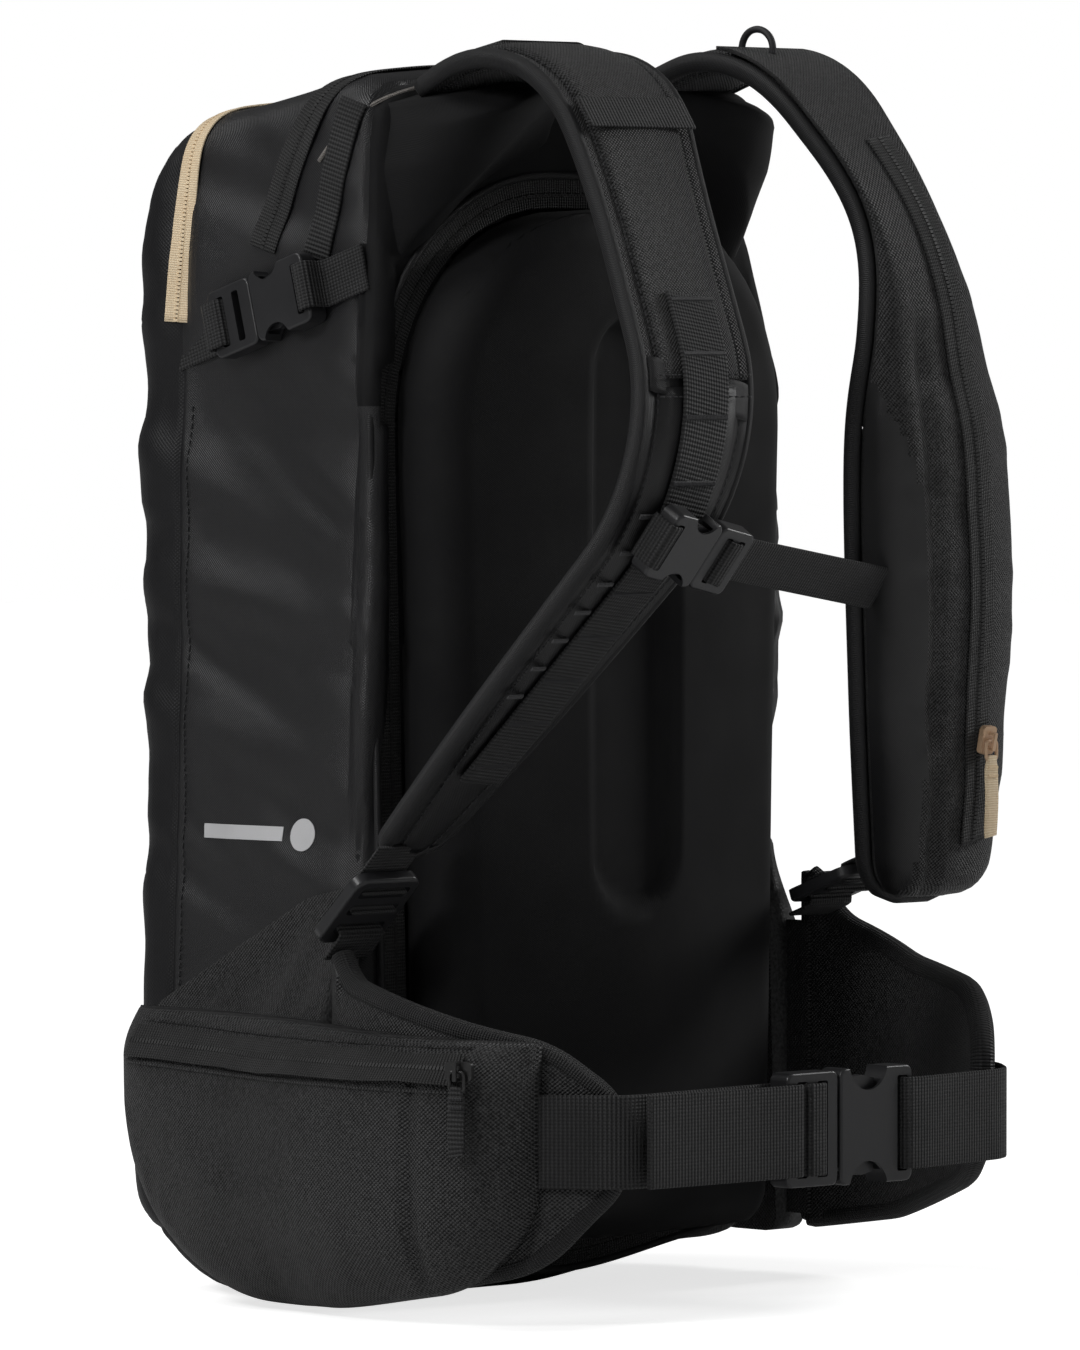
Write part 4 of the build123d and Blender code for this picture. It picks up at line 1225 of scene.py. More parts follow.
def edge_on(prefix, name, points, radii, width, body, replaces=()):
    origin, along, across, out = buckle_plane(prefix)
    return webbing(name, origin, along, -across, points, radii, width, body, replaces)


s_origin, s_along, s_across, s_out = buckle_plane("sternum")
s_end = np.array([56.0, -190.5, 290.5]) - s_origin
edge_on("sternum", "sternum_strap",
        [(s_end @ s_along, s_end @ s_out), (-30, -5.2), (-15.5, -5.2), (-15.5, 5.2),
                                     (-7.5, 5.2), (-7.5, -2.5)], [12, 1.4, 1.4, 1.4], 20, "sternum",
        ["sternum_webbing"])
edge_on("sternum", "sternum_anchor", [(26, -3), (26, 5.8), (33, 5.8), (33, -4.8)], [1.4, 1.4], 20, "sternum")
rear = edge_on("compression_r", "compression_rear_r", [(61, -4.2), (36, -4.2), (36, 6.2), (28.5, 6.2),
                                                       (28.5, -3.2)], [2, 1.4, 1.4], 20, "bag",
                                                       ["side_webbing"])
fore = edge_on("compression_r", "compression_front_r",
               [(-58, -3.9), (-28.4, -3.9), (-28.4, 5.4), (-18.5, 5.4),
                                                        (-18.5, -3)], [2, 1.4, 1.4], 20, "bag")
mirror_piece(rear, "compression_rear_l", "bag", "webbing")
mirror_piece(fore, "compression_front_l", "bag", "webbing")


# ---- tube sleeve on the left strap ---------------------------------------------------------
def sleeve_height(strap, rows):
    """How far the sleeve stands on the strap: it rises from the top and rounds off at the end."""
    run = strap.run_at(rows)
    top = int(np.argmax(strap.yz[:, 1]))
    rise = step01(run, strap.run[top] + 60, strap.run[top] + 240)
    end = np.sqrt(np.clip(1 - (1 - np.clip((strap.run[-1] - 2 - run) / 22, 0, 1)) ** 2, 0, 1))
    return 22.0 * rise * end


def build_sleeve():
    top = int(np.argmax(strap_l.yz[:, 1]))
    first = float(strap_l.at_run(strap_l.run[top] + 8))
    rows = np.arange(first, strap_l.count - 1.2, 0.8)
    tall = sleeve_height(strap_l, rows)
    half = strap_l.half_at(rows) - 2.5
    ang = np.linspace(0, math.pi, 25)
    verts, uv = [], []
    for r, h, w in zip(rows, tall, half):
        x = np.sign(-np.cos(ang)) * np.abs(np.cos(ang)) ** 0.75 * w
        up = np.abs(np.sin(ang)) ** 0.62 * h
        p = np.column_stack([x * 0.6, np.full_like(x, r * 3.5), up * 0])
        up = up * (1 + 0.10 * noise(p, 30.0)) + 0.5 * noise(p * (1, 2.2, 1), 17.0) * np.minimum(1, up / 9)
        gather = -2.4 * np.exp(-((x + 0.45 * w) / 3.2) ** 2) * step01(up, 6, 12)
        up = up + gather
        xs = np.concatenate([x, x[::-1][1:-1]])
        hs = np.concatenate([7.0 + up, np.full(len(x) - 2, 5.4)])
        verts.append(strap_l.points(r, xs, hs))
        along = strap_l.run_at(r)
        arc = np.concatenate([[0], np.cumsum(np.hypot(np.diff(xs), np.diff(hs)))])
        uv.append(np.column_stack([arc - arc[12], np.full_like(xs, along)]))
    k = len(verts[0])
    faces = tube_faces(len(verts), k)
    obj = mesh_object("tube_sleeve", np.vstack(verts), faces, "twill", np.vstack(uv) * MM, "harness",
                      ["tube_sleeve_l"])
    fix_normals(obj)
    inflate(obj, 2.5, 3.0, pinned=sleeve_pins(obj, k, len(verts)), frames=16)
    shade_smooth(obj)
    return obj, rows


def sleeve_pins(obj, around, count):
    """The sewn foot of the sleeve and its two ends stay where they are."""
    ring = np.arange(around)
    held = ((ring < 3) | (ring > 20)).astype(float)
    pins = np.tile(held, (count, 1))
    pins[:3] = 1
    pins[-3:] = 1
    return pins.ravel()


sleeve, sleeve_rows = build_sleeve()
sleeve_tree = surface_tree(sleeve)


def split_by_weave(obj, name, keep):
    """Moves the faces whose mean weave coordinates, in millimetres, pass the test to a new object."""
    mesh = obj.data
    uv = np.zeros(len(mesh.loops) * 2)
    mesh.uv_layers["weave"].data.foreach_get("uv", uv)
    uv = uv.reshape(-1, 2) / MM
    total = np.array([p.loop_total for p in mesh.polygons])
    start = np.array([p.loop_start for p in mesh.polygons])
    mean = np.add.reduceat(uv, start, axis=0) / total[:, None]
    chosen = keep(mean)
    return split_off(obj, name, lambda centre: chosen)


gusset_start = float(strap_l.run_at(strap_l.index_at_z(428)))


def gusset_edge(along):
    """Where the gusset ends across the sleeve, measured from the sleeve's middle."""
    return -54.0 + 31.0 * step01(along, gusset_start, gusset_start + 110.0) ** 0.8


gusset = split_by_weave(sleeve, "sleeve_gusset", lambda m: m[:, 0] < gusset_edge(m[:, 1]))
gusset.data.materials.clear()
finish_piece(gusset, "smooth", "harness")
ZIP_X = 7.0


def zip_on(name, places, normals, width, mat, body, replaces=(), gap=0.9, teeth=None, lift=0.6):
    """Two half tapes with a coil between them along a line on a surface."""
    t = tangents(places)
    across = unit(np.cross(t, normals))
    half = (width - gap) / 2
    made = []
    for side in (-1, 1):
        line = places + across * side * (gap + half) / 2 + normals * lift
        made.append(band(f"{name}_tape_{'b' if side > 0 else 'a'}", line, normals, flat_section(half, 1.0),
                         mat,
                         body, replaces if side > 0 else ()))
    line, n = even_with(places + normals * (lift + 0.1), normals, 1.0)
    made.append(coil(f"{name}_coil", line, n, body, teeth or mat, 3.4, 1.7, 0.75))
    return made


def sleeve_zip():
    run = np.arange(strap_l.index_at_z(478), strap_l.index_at_z(190), 1.0)
    aim = strap_l.points(run, ZIP_X, 24.0)
    out = strap_l.normals(run)
    places, normals = drape(sleeve_tree, aim, out)
    places, normals = soften(places, 6), unit(soften(normals, 8))
    zip_on("sleeve_zip", places, normals, 15.0, "zip", "harness", ["sleeve_zip_tape_l"])


sleeve_zip()

# ---- hip wings ----------------------------------------------------------------------------
FIN_SIDE = [(-68, 1), (-68, 174), (-40, 168), (52, 119), (52, 78), (-20, 1)]
FIN_BENDS = [6, 6, 40, 12, 44, 56]
FIN_RISE = {"r": 0.0, "l": 15.0}
WING_MID = 130.0
POCKET_ARC = 137.0
HINGE_Y = -70.0


def ring_x(y, radius):
    """x of the wing's arc at a depth, on the wearer's right."""
    return WING_CENTRE[0] - np.sqrt(np.maximum(radius**2 - (y - WING_CENTRE[1]) ** 2, 0))


def ring_out(x, y):
    """Outward direction in plan at a point of the wing's arc."""
    out = np.stack([x - WING_CENTRE[0], y - WING_CENTRE[1], 0 * x], -1)
    return unit(out)


def span_at(outline, values):
    """Lowest and highest z of a closed side outline at each y."""
    low, high = [], []
    nxt = np.roll(outline, -1, 0)
    for v in values:
        hit = (outline[:, 0] - v) * (nxt[:, 0] - v) <= 0
        a, b = outline[hit], nxt[hit]
        d = b[:, 0] - a[:, 0]
        f = np.where(np.abs(d) > 1e-9, (v - a[:, 0]) / np.where(np.abs(d) > 1e-9, d, 1), 0)
        z = a[:, 1] + (b[:, 1] - a[:, 1]) * f
        low.append(z.min())
        high.append(z.max())
    return np.array(low), np.array(high)


def edge_distance(points, outline):
    return np.min(np.linalg.norm(points[:, None] - outline[None], axis=2), axis=1)


def side_sheet(outline, y_from, y_to, columns, rows):
    """A (y, z) grid that fills a side outline; columns crowd towards both ends."""
    t = np.linspace(0, math.pi, columns)
    mixed = 0.7 * (1 - np.cos(t)) / 2 + 0.3 * t / math.pi
    ys = y_from + (y_to - y_from) * mixed
    low, high = span_at(outline, ys)
    s = np.linspace(0, math.pi, rows)
    f = 0.6 * (1 - np.cos(s)) / 2 + 0.4 * s / math.pi
    z = low[:, None] + (high - low)[:, None] * f[None]
    return np.repeat(ys[:, None], rows, 1), z


def two_faced(name, outer, inner, shape, mat, uv, body, replaces=()):
    """A closed pad from two grids of points that share their rim."""
    r, c = shape
    faces = grid_faces(r, c)
    both = np.vstack([faces, faces[:, ::-1] + r * c])
    obj = mesh_object(name, np.vstack([outer, inner]), both, mat, np.vstack([uv, uv]) * MM, body,
                      replaces)
    bm = bmesh.new()
    bm.from_mesh(obj.data)
    bm.verts.ensure_lookup_table()
    ids = rim_loop(r, c)
    for i, j in zip(ids, ids[1:] + ids[:1]):
        quad = [bm.verts[i], bm.verts[j], bm.verts[j + r * c], bm.verts[i + r * c]]
        bm.faces.new(quad)
    bm.to_mesh(obj.data)
    bm.free()
    return close_mesh(obj, 1e-5)


WING_SHAPE = {
    "r": [(-72, 10), (-72, 152), (-84, 136), (-130, 126), (-190, 113), (-212.5, 92), (-212.5, 58),
          (-186, 24),
          (-120, 10)],
    "l": [(-72, 20), (-72, 176), (-88, 151), (-130, 135), (-188, 127), (-212.5, 107), (-212.5, 77),
          (-186, 46),
          (-120, 26)],
}
SHAPE_BENDS = [4, 2, 24, 60, 40, 24, 24, 40, 60]
WING_TUCK = {"r": 0.0, "l": 9.0}


def wing_radius(y, letter):
    """Radius of the wing's middle layer about its centre; the left tip is drawn in by its belt."""
    return WING_MID - WING_TUCK[letter] * step01(-np.asarray(y, float), 100, 185)


def build_wing(side, letter):
    outline = rounded(WING_SHAPE[letter], SHAPE_BENDS, closed=True, step=2.5)
    tip = outline[:, 0].min() + 0.05
    y, z = side_sheet(outline, -73.0, tip, 54, 34)
    flat = np.column_stack([y.ravel(), z.ravel()])
    near = edge_distance(flat, outline)
    near = np.where(flat[:, 0] > -84, np.maximum(near, -72 - flat[:, 0]), near)
    thick = 2.6 + 4.2 * (1 - np.exp(-near / 7.0))
    crease = 0.5 * noise(np.column_stack([flat * (1, 0.5), near * 0]), 26.0) * step01(near, 6, 16)
    middle = wing_radius(flat[:, 0], letter)
    x = ring_x(flat[:, 0], middle)
    out = ring_out(x, flat[:, 0])
    faces = [np.column_stack([x, flat]) + out * (sign * (thick + crease))[:, None] for sign in (1, -1)]
    if side > 0:
        for place in faces:
            place[:, 0] *= -1
    obj = two_faced(f"hip_wing_{letter}", faces[0], faces[1], y.shape, "twill", flat, f"wing_{letter}",
                    [f"hip_wing_{letter}"])
    rim = outline[(outline[:, 0] < -74)]
    start = np.argmax(np.linalg.norm(np.diff(np.vstack([rim, rim[:1]]), axis=0), axis=1)) + 1
    rim = np.roll(rim, -start, 0)
    rim = rim + unit(rim.mean(0) - rim) * 2.6
    x = ring_x(rim[:, 0], wing_radius(rim[:, 0], letter))
    line, n = np.column_stack([x, rim]), ring_out(x, rim[:, 0])
    if side > 0:
        line[:, 0] *= -1
        n[:, 0] *= -1
    line, n = even_with(line, n, 2.5)
    band(f"wing_{letter}_binding", line, n, ellipse(9.5, 10.5, 14), "grosgrain", f"wing_{letter}")
    return obj


wing_r = build_wing(-1, "r")
wing_l = build_wing(1, "l")


def side_x(z):
    return SIDE_X - SIDE_LEAN * z


def build_fin(side, letter):
    rise = FIN_RISE[letter]
    outline = rounded(FIN_SIDE, FIN_BENDS, closed=True, step=2.5)
    y, z = side_sheet(outline, -67.9, 51.9, 56, 40)
    flat = np.column_stack([y.ravel(), z.ravel()])
    near = edge_distance(flat, outline)
    from_top = (174 - 0.455 * (flat[:, 0] + 68)) - flat[:, 1]
    spread = step01(from_top, 4, 62)
    rear_rim = edge_distance(flat, outline[outline[:, 0] > -60])
    low_round = 1 - 0.9 * np.exp(-rear_rim / 4.0) * step01(from_top, 10, 30)
    stand = 4.0 + (145.5 - 4.0 - side_x(flat[:, 1])) * spread * low_round
    folds = noise(np.column_stack([flat[:, 0] * 1.8 + flat[:, 1] * 0.7, flat[:, 1] * 0.35, near * 0]), 24.0)
    stand += 1.1 * folds * step01(near, 3, 14)
    flat[:, 1] += rise
    outer = np.column_stack([-(side_x(flat[:, 1]) + stand), flat])
    inner = np.column_stack([-(side_x(flat[:, 1]) + 0.3), flat])
    if side > 0:
        outer[:, 0] *= -1
        inner[:, 0] *= -1
    replaced = ["hip_fins"] if side < 0 else []
    obj = two_faced(f"hip_fin_{letter}", outer, inner, y.shape, "twill", flat, "bag",
                    replaced)
    return obj


fin_r = build_fin(-1, "r")
fin_l = build_fin(1, "l")


def build_hinge_cover():
    """Twill that closes the gap between the left fin and the left wing, across their hinge."""
    z = np.linspace(24, 150, 40)
    x = -ring_x(np.array(HINGE_Y), WING_MID - 3.0)
    line = np.column_stack([np.full_like(z, x), np.full_like(z, -71.0), z])
    obj = band("hip_hinge_l", line, (1, 0, 0), flat_section(20, 1.6), "twill", None)
    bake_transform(obj)


build_hinge_cover()


def build_cord_loop():
    """Small cord loop that stands on the left strap near the shoulder."""
    top = int(np.argmax(strap_l.yz[:, 1]))
    t = np.linspace(0, math.pi, 24)
    index = strap_l.at_run(strap_l.run[top] + 12.0 - 8.0 * np.cos(t))
    line = strap_l.points(index, -6.0, 6.0 + 9.0 * np.sin(t))
    across = np.tile((1.0, 0.0, 0.0), (len(line), 1))
    band("cord_loop", line, across, round_section(1.5), "thread", "harness", ["cord_loop_l"])


build_cord_loop()


# ---- padded strap roots on the yoke ---------------------------------------------------------
def build_root(side, letter):
    """The wedge of lining and padding that joins a shoulder strap to the yoke."""
    u, v = np.linspace(0, 1, 40), np.linspace(0, 1, 36)
    uu, vv = np.repeat(u[None], len(v), 0), np.repeat(v[:, None], len(u), 1)
    low = 470.0 - 62.0 * uu**2.2
    zz = low + (509.0 - 13.0 * uu**2 - low) * vv
    x = 10.0 + (np.interp(zz, (408, 470, 511), (100.0, 106.0, 99.0)) - 10.0) * uu
    reach = np.interp(zz, (408, 425, 441, 466, 487, 498, 511), (2, 9, 19, 31, 41, 50, 55))
    across = (1 - np.abs(2 * uu - 1) ** 5) ** 0.5 * (0.45 + 0.55 * step01(uu, 0.1, 0.75))
    crown = (1 - step01(vv, 0.86, 1.0) * 0.55 * uu)
    depth = reach * across * np.minimum(1, (zz - low) / 26.0) ** 0.7 * crown
    slow = noise(np.column_stack([x.ravel(), zz.ravel() * 1.5, 0 * x.ravel()]), 34.0).reshape(x.shape)
    depth = depth + 1.6 * slow * np.minimum(1, depth / 14)
    outer = np.column_stack([side * x.ravel(), -63.0 - depth.ravel(), zz.ravel()])
    inner = np.column_stack([side * x.ravel(), np.full(x.size, -61.0), zz.ravel()])
    obj = two_faced(f"strap_root_{letter}", outer, inner, x.shape, "softshell",
                    np.column_stack([x.ravel(), zz.ravel()]), None)
    fix_normals(obj)
    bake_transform(obj)


build_root(-1, "r")
build_root(1, "l")


# ---- hip pocket: one stuffed piece from the fin to the tip of the wing ---------------------
POCKET_REAR_Y, POCKET_FRONT_Y = 40.0, -190.0


def pocket_path():
    """The pocket's back in plan: straight along the fin, then round the wing's arc, in 1 mm steps."""
    straight = POCKET_REAR_Y - HINGE_Y
    start = math.asin((HINGE_Y - WING_CENTRE[1]) / POCKET_ARC)
    s = np.arange(-60.0, 420.0, 1.0)
    angle = start - (s - straight) / POCKET_ARC
    cx, cy = WING_CENTRE
    x = np.where(s < straight, ring_x(np.array(HINGE_Y), POCKET_ARC), cx - POCKET_ARC * np.cos(angle))
    y = np.where(s < straight, POCKET_REAR_Y - s, cy + POCKET_ARC * np.sin(angle))
    exact = np.column_stack([x, y])
    kernel = np.exp(-(np.arange(-75, 76) / 30.0) ** 2 / 2)
    kernel /= kernel.sum()
    pad = np.vstack([exact[:1].repeat(75, 0), exact, exact[-1:].repeat(75, 0)])
    eased = np.column_stack([np.convolve(pad[:, k], kernel, "valid") for k in (0, 1)])
    t = np.gradient(eased, axis=0)
    t /= np.linalg.norm(t, axis=1, keepdims=True)
    return s, exact, eased, np.column_stack([t[:, 1], -t[:, 0]])


PATH_S, PATH_EXACT, PATH_EASED, PATH_OUT = pocket_path()


def pocket_base(s, ease=1.0):
    """Plan place and outward direction at a distance along the pocket from its rear end."""
    parts = [np.interp(s, PATH_S, PATH_EXACT[:, k]) * (1 - ease) + np.interp(s, PATH_S,
                                                                             PATH_EASED[:, k]) * ease
             for k in (0, 1)]
    ox, oy = (np.interp(s, PATH_S, PATH_OUT[:, k]) for k in (0, 1))
    size = np.hypot(ox, oy)
    return parts[0], parts[1], ox / size, oy / size


def pocket_arc_length():
    straight = POCKET_REAR_Y - HINGE_Y
    start = math.asin((HINGE_Y - WING_CENTRE[1]) / POCKET_ARC)
    end = math.asin((POCKET_FRONT_Y - WING_CENTRE[1]) / POCKET_ARC)
    return straight + (start - end) * POCKET_ARC


POCKET_LONG = pocket_arc_length()


def pocket_top(s):
    return 121.0 - 5.0 * step01(s, 20, POCKET_LONG)


def pocket_zip_z(s):
    return 108.0 - 3.0 * step01(s, 0, 110)


def corner_drop(d, radius):
    """Height lost at a distance from the start of a rounded corner."""
    return radius * (1 - np.sqrt(np.clip(1 - (1 - np.clip(d / radius, 0, 1)) ** 2, 0, 1)))


def pocket_bottom(s):
    lift = 2.0 + 14.0 * step01(s, 110, POCKET_LONG)
    return lift + corner_drop(s, 86.0) + corner_drop(POCKET_LONG - s, 46.0)


def build_pocket():
    columns, rows = 96, 44
    t = np.linspace(0, math.pi, columns)
    s = POCKET_LONG * (0.5 * (1 - np.cos(t)) / 2 + 0.5 * t / math.pi)
    low, high = pocket_bottom(s), pocket_top(s)
    q = np.linspace(0, math.pi, rows)
    f = 0.5 * (1 - np.cos(q)) / 2 + 0.5 * q / math.pi
    z = low[:, None] + (high - low)[:, None] * f[None]
    ss = np.repeat(s[:, None], rows, 1)
    flat = np.column_stack([ss.ravel(), z.ravel()])
    lo, hi = np.repeat(low, rows), np.repeat(high, rows)
    to_bottom, to_top = flat[:, 1] - lo, hi - flat[:, 1]
    to_rear, to_front = flat[:, 0], POCKET_LONG - flat[:, 0]

    def shoulder(d, width, power=2.0):
        return (1 - np.clip(1 - d / width, 0, 1) ** power) ** (1 / power)

    full = shoulder(to_bottom, 34) * shoulder(to_top, 20, 1.8) * shoulder(to_rear, 26) * shoulder(to_front,
                                                                                                  34)
    folds = noise(np.column_stack([flat[:, 0] * 0.9 + flat[:, 1] * 0.35, flat[:, 1] * 0.55, to_top * 0]),
                  34.0)
    fine = noise(np.column_stack([flat[:, 0] * 1.6, flat[:, 1] * 0.6, to_top * 0]), 15.0)
    depth = 21.5 * full + (1.5 * folds + 0.5 * fine) * step01(full, 0.3, 0.8)
    depth -= 3.0 * np.exp(-((to_front - 46) / 2.0) ** 2) * step01(to_top, 8, 20) * full
    x, y, ox, oy = pocket_base(flat[:, 0], step01(full, 0.0, 0.6))
    depth += 2.2 * full
    outer = np.column_stack([x + ox * (depth + 0.2), y + oy * (depth + 0.2), flat[:, 1]])
    x, y, ox, oy = pocket_base(flat[:, 0], 0.0)
    inner = np.column_stack([x + ox * 0.2, y + oy * 0.2, flat[:, 1]])
    obj = two_faced("hip_pocket", outer, inner, z.shape, "twill", flat, None)
    co = get_co(obj) / MM
    near = BVHTree.FromPolygons([Vector(v) for v in inner], grid_faces(*z.shape).tolist())
    held = np.array([near.find_nearest(Vector(c))[3] < 6.0 for c in co]).astype(float)
    inflate(obj, 3.0, 4.0, pinned=held, frames=16)
    shade_smooth(obj)
    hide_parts("hip_pocket_r", "hip_pocket_rear_r")
    return obj


def across_hinge(obj):
    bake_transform(obj)
    return obj


pocket = build_pocket()
pocket_tree = surface_tree(pocket)
across_hinge(pocket)


def pocket_line(first, last, height, step=2.0, lift=0.0):
    """A line over the pocket's face; height gives z from the distance along the pocket."""
    s = np.arange(first, last, step)
    x, y, ox, oy = pocket_base(s)
    aim = np.column_stack([x + ox * 20, y + oy * 20, height(s)])
    out = np.column_stack([ox, oy, ox * 0])
    places, normals = drape(pocket_tree, aim, out, 0.0)
    return soften(places, 4) + normals * lift, unit(soften(normals, 6))


def pocket_zip():
    places, normals = pocket_line(16, POCKET_LONG - 26, pocket_zip_z)
    for piece in zip_on("pocket_zip", places, normals, 15.0, "zip", None, ["pocket_zip_tape_r"]):
        across_hinge(piece)
    for name, offset in (("upper", 8.4), ("lower", -8.4)):
        line, n = pocket_line(15, POCKET_LONG - 24, lambda s: pocket_zip_z(s) + offset)
        line, n = even_with(line, n, 2.5)
        across_hinge(band(f"pocket_zip_edge_{name}", line, n, ellipse(2.2, 1.8, 8), "twill", None))


pocket_zip()

# ---- zips and tape over the top of the bag -------------------------------------------------
def over_top(low_point, run, top_run, corner=22.0, start=0.0, bow=0.0):
    """Places and normals of a line that climbs one side, crosses the top and comes down."""
    along = unit(np.array([0, *run], float))
    low = np.array([0, *low_point], float)
    places, out = [], []
    for a in np.linspace(start, top_run - corner, 24):
        p = low + along * a + np.array([0, bow * math.sin(math.pi * a / (top_run - corner)), 0])
        places.append(p + np.array([-side_x(p[2]), 0, 0]))
        out.append((-1.0, 0.0, 0.0))
    for ang in np.linspace(0.1, math.pi / 2, 10):
        p = low + along * (top_run - corner)
        centre = p + np.array([-side_x(p[2]) + corner, 0, 0])
        d = np.array([-math.cos(ang), 0, 0]) + along * math.sin(ang)
        places.append(centre + d * corner)
        out.append(d)
    p = low + along * top_run
    width = side_x(p[2]) - corner
    half = np.linspace(-width, 0, 26)[1:]
    for x in half:
        places.append(p + np.array([x, 0, 0]))
        out.append(along)
    left = [q * (-1, 1, 1) for q in places[-2::-1]]
    out_left = [np.array(q) * (-1, 1, 1) for q in out[-2::-1]]
    places, normals = drape(bag_tree, np.array(places + left), np.array(out + out_left))
    places, normals = even_with(soften(places, 4), unit(soften(normals, 12)), 3.0)
    places, normals = soften(places, 16), unit(soften(normals, 30))
    places, _ = drape(bag_tree, places, normals, 0.3, start=25.0)
    return soften(places, 4), normals


places, normals = over_top((47.0, 406.0), (-0.06, 0.998), 88.0, bow=0.5, corner=30.0)
zip_on("front_zip", places, normals, 11.5, "tan", "bag", ["front_zip_tape"])
places, normals = over_top((-5.0, 440.0), (-0.42, 0.907), 76.0, start=-4.0, bow=3.0)
zip_on("goggle_zip", places, normals, 15.0, "zip", "bag", ["goggle_zip_tape"])


def side_line(side, start, end, count=20, lift=0.9):
    """A line on the side of the bag between two (y, z) points."""
    yz = np.linspace(start, end, count)
    aim = np.column_stack([side * side_x(yz[:, 1]), yz])
    out = np.tile((side * 1.0, 0, 0.035), (count, 1))
    places, normals = drape(bag_tree, aim, out, lift)
    return soften(places, 2), unit(normals)


for side, letter in ((-1, "r"), (1, "l")):
    places, normals = side_line(side, (-34, 432), (-52, 497))
    band(f"side_tape_{letter}", places, normals, flat_section(14, 1.2), "webbing", "bag")


def build_raw_edge():
    """Pale raw edge of the lining that shows along the seam between the top and the yoke."""
    line, out = [], []
    for share in np.linspace(0, 1, 36):
        x = np.interp(share, (0, 0.16, 0.5, 0.8, 1), (-124, -117, -86, -60, -47))
        y = np.interp(share, (0, 0.16, 1), (-53, -57, -66))
        z = np.interp(share, (0, 0.16, 0.5, 0.8, 1), (484, 492, 500, 510, 517))
        line.append((x, y, z))
        out.append((-0.5 * (1 - share), -0.8, 0.5))
    places, normals = drape(bag_tree, np.array(line), np.array(out), 0.2)
    places, normals = even_with(soften(places, 6), unit(soften(normals, 6)), 2.0)
    wave = 0.8 * noise(places * (1, 0, 1), 9.0)
    band("raw_edge", places + normals * np.abs(wave)[:, None], normals, flat_section(1.8, 1.0), "raw_edge",
         "bag")


build_raw_edge()


def seam_stitch(name, side, start, end, count=80):
    places, normals = side_line(side, start, end, count, 0.1)
    stitches(name, places, normals, "bag")


for side, letter in ((-1, "r"), (1, "l")):
    seam_stitch(f"front_seam_stitch_{letter}", side, (39.0, 128), (39.0, 372))


def flat_mark(name, ys, zs):
    """A thin printed mark on the wearer's right side, between a lower and an upper z at each y."""
    grid = []
    for z in zs:
        aim = np.column_stack([-side_x(z) + 0 * ys, ys, z + 0 * ys])
        grid.append(drape(bag_tree, aim, np.tile((-1, 0, 0.035), (len(ys), 1)), 0.0))
    (low, low_n), (high, high_n) = grid
    verts = np.vstack([low + low_n * 0.35, high + high_n * 0.35, low - low_n * 0.2, high - high_n * 0.2])
    n = len(ys)
    faces = [(i, i + 1, n + i + 1, n + i) for i in range(n - 1)]
    faces += [(2 * n + i, 3 * n + i, 3 * n + i + 1, 2 * n + i + 1) for i in range(n - 1)]
    loop = list(range(n)) + list(range(2 * n - 1, n - 1, -1))
    faces += [(loop[i], loop[(i + 1) % len(loop)], loop[(i + 1) % len(loop)] + 2 * n, loop[i] + 2 * n)
              for i in range(len(loop))]
    obj = mesh_object(name, verts, faces, "mark", None, "bag", smooth=False)
    fix_normals(obj)


def print_marks():
    """A plain bar and a plain dot where the photo has printing."""
    ys = np.linspace(27, -20, 40)
    flat_mark("print_bar", ys, (np.full(40, 190.5), np.full(40, 196.5)))
    turn = np.linspace(0.12, math.pi - 0.12, 24)
    ys, tall = -31.0 + 6.8 * np.cos(turn), 6.8 * np.sin(turn)
    flat_mark("print_dot", ys, (193.5 - tall, 193.5 + tall))


print_marks()

# ---- zip pulls: a wire loop with a woven tape sewn round it ---------------------------------
PULLS = {"sleeve_zip": (40, "tan"), "pocket_zip": (34, "webbing"), "back_zip": (26, "webbing"),
         "front_zip": (24, "tan"), "goggle_zip": (18, "webbing")}
SLOTS = {entry["node"]: entry["material_slot"] for entry in frame["record"]["subparts"]}


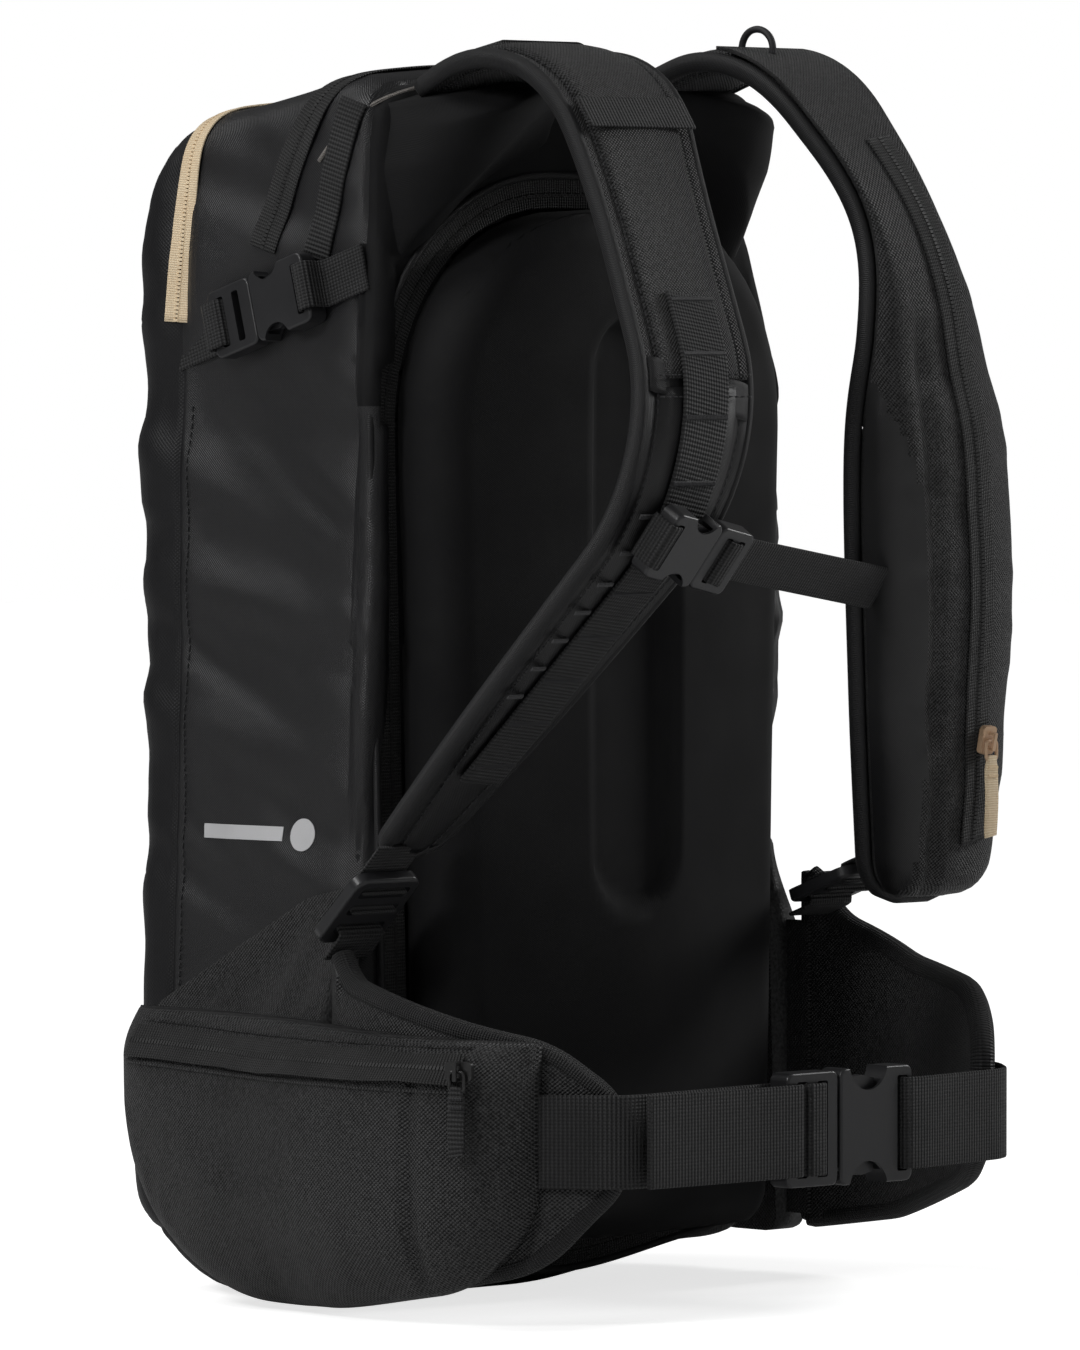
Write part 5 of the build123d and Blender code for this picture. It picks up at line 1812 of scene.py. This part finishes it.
def build_pull(name, length, mat):
    joint = JOINTS[f"{name}_pull_flap"]
    origin, across = np.array(joint["pos_m"]) / MM, unit(np.array(joint["axis"], float))
    up = unit(np.array([0, 0, 1.0]) - across * across[2])
    out = np.cross(across, up)
    node_name, slot = f"{name}_pull", SLOTS[f"{name}_pull"]

    def at(x, y, z=0.0):
        return origin + across * x + up * y + out * z

    loop = rounded([(-3.2, 0), (3.2, 0), (3.2, -7.6), (-3.2, -7.6)], [1.4] * 4, closed=True, step=0.7)
    line = np.array([at(x, y) for x, y in loop])
    band(f"{name}_pull_loop", line, out, round_section(0.75, 8), "tan_metal" if mat == "tan" else "metal",
         node_name, closed=True)
    ys = np.concatenate([np.linspace(-5.9, -8, 5), np.linspace(-9, -length + 1.2, 22),
                         [-length + 0.5, -length]])
    ang = np.linspace(0, 2 * math.pi, 20, endpoint=False)
    verts, uv = [], []
    for y in ys:
        half = 2.7 + 1.1 * step01(-y, 8, 12) - 0.3 * step01(-y, length - 5, length)
        thick = 1.25 - 0.35 * step01(-y, 8, 13)
        drift = 0.35 * math.sin(y / 5.0) * step01(-y, 10, 18)
        x = np.sign(np.cos(ang)) * np.abs(np.cos(ang)) ** 0.5 * half
        z = np.sign(np.sin(ang)) * np.abs(np.sin(ang)) ** 0.6 * thick + drift
        slant = 0.18 * x * step01(-y, length - 6, length)
        verts.append([at(a, y + c, b) for a, b, c in zip(x, z, slant)])
        uv.append(np.column_stack([x + z, np.full(20, y)]))
    faces = tube_faces(len(ys), 20)
    obj = mesh_object(f"{name}_pull_tape", np.vstack(verts), faces, mat, np.vstack(uv) * MM, node_name,
                      [node_name])
    fix_normals(obj)
    for i, y in enumerate((-11.0, -14.5)):
        line = even(np.array([at(-2.8, y, 1.15), at(2.8, y, 1.15)]), step=0.7)
        coil(f"{name}_pull_tack_{i}", line, out, node_name, "thread" if mat != "tan" else "tan", 1.4,
             0.7, 0.4)


for name, (length, mat) in PULLS.items():
    build_pull(name, length, mat)

# ---- finish -------------------------------------------------------------------------------
SLOT_LOOK = {
    "shell_nylon": "nylon", "base_fabric": "base", "harness_twill": "twill", "back_softshell": "softshell",
    "foam": "foam", "frame_plastic": "sheet", "stay_metal": "stay", "dark_zip": "zip", "tan_zip": "tan",
    "webbing": "webbing", "cord": "thread", "tan_pull": "tan", "slider_metal": "metal",
    "tan_slider": "tan_metal", "buckle_plastic": "plastic",
}
for entry in frame["record"]["subparts"]:
    piece = NODES[entry["node"]]
    piece.data.materials.clear()
    piece.data.materials.append(MAT[SLOT_LOOK[entry["material_slot"]]])
    box_uv(piece)
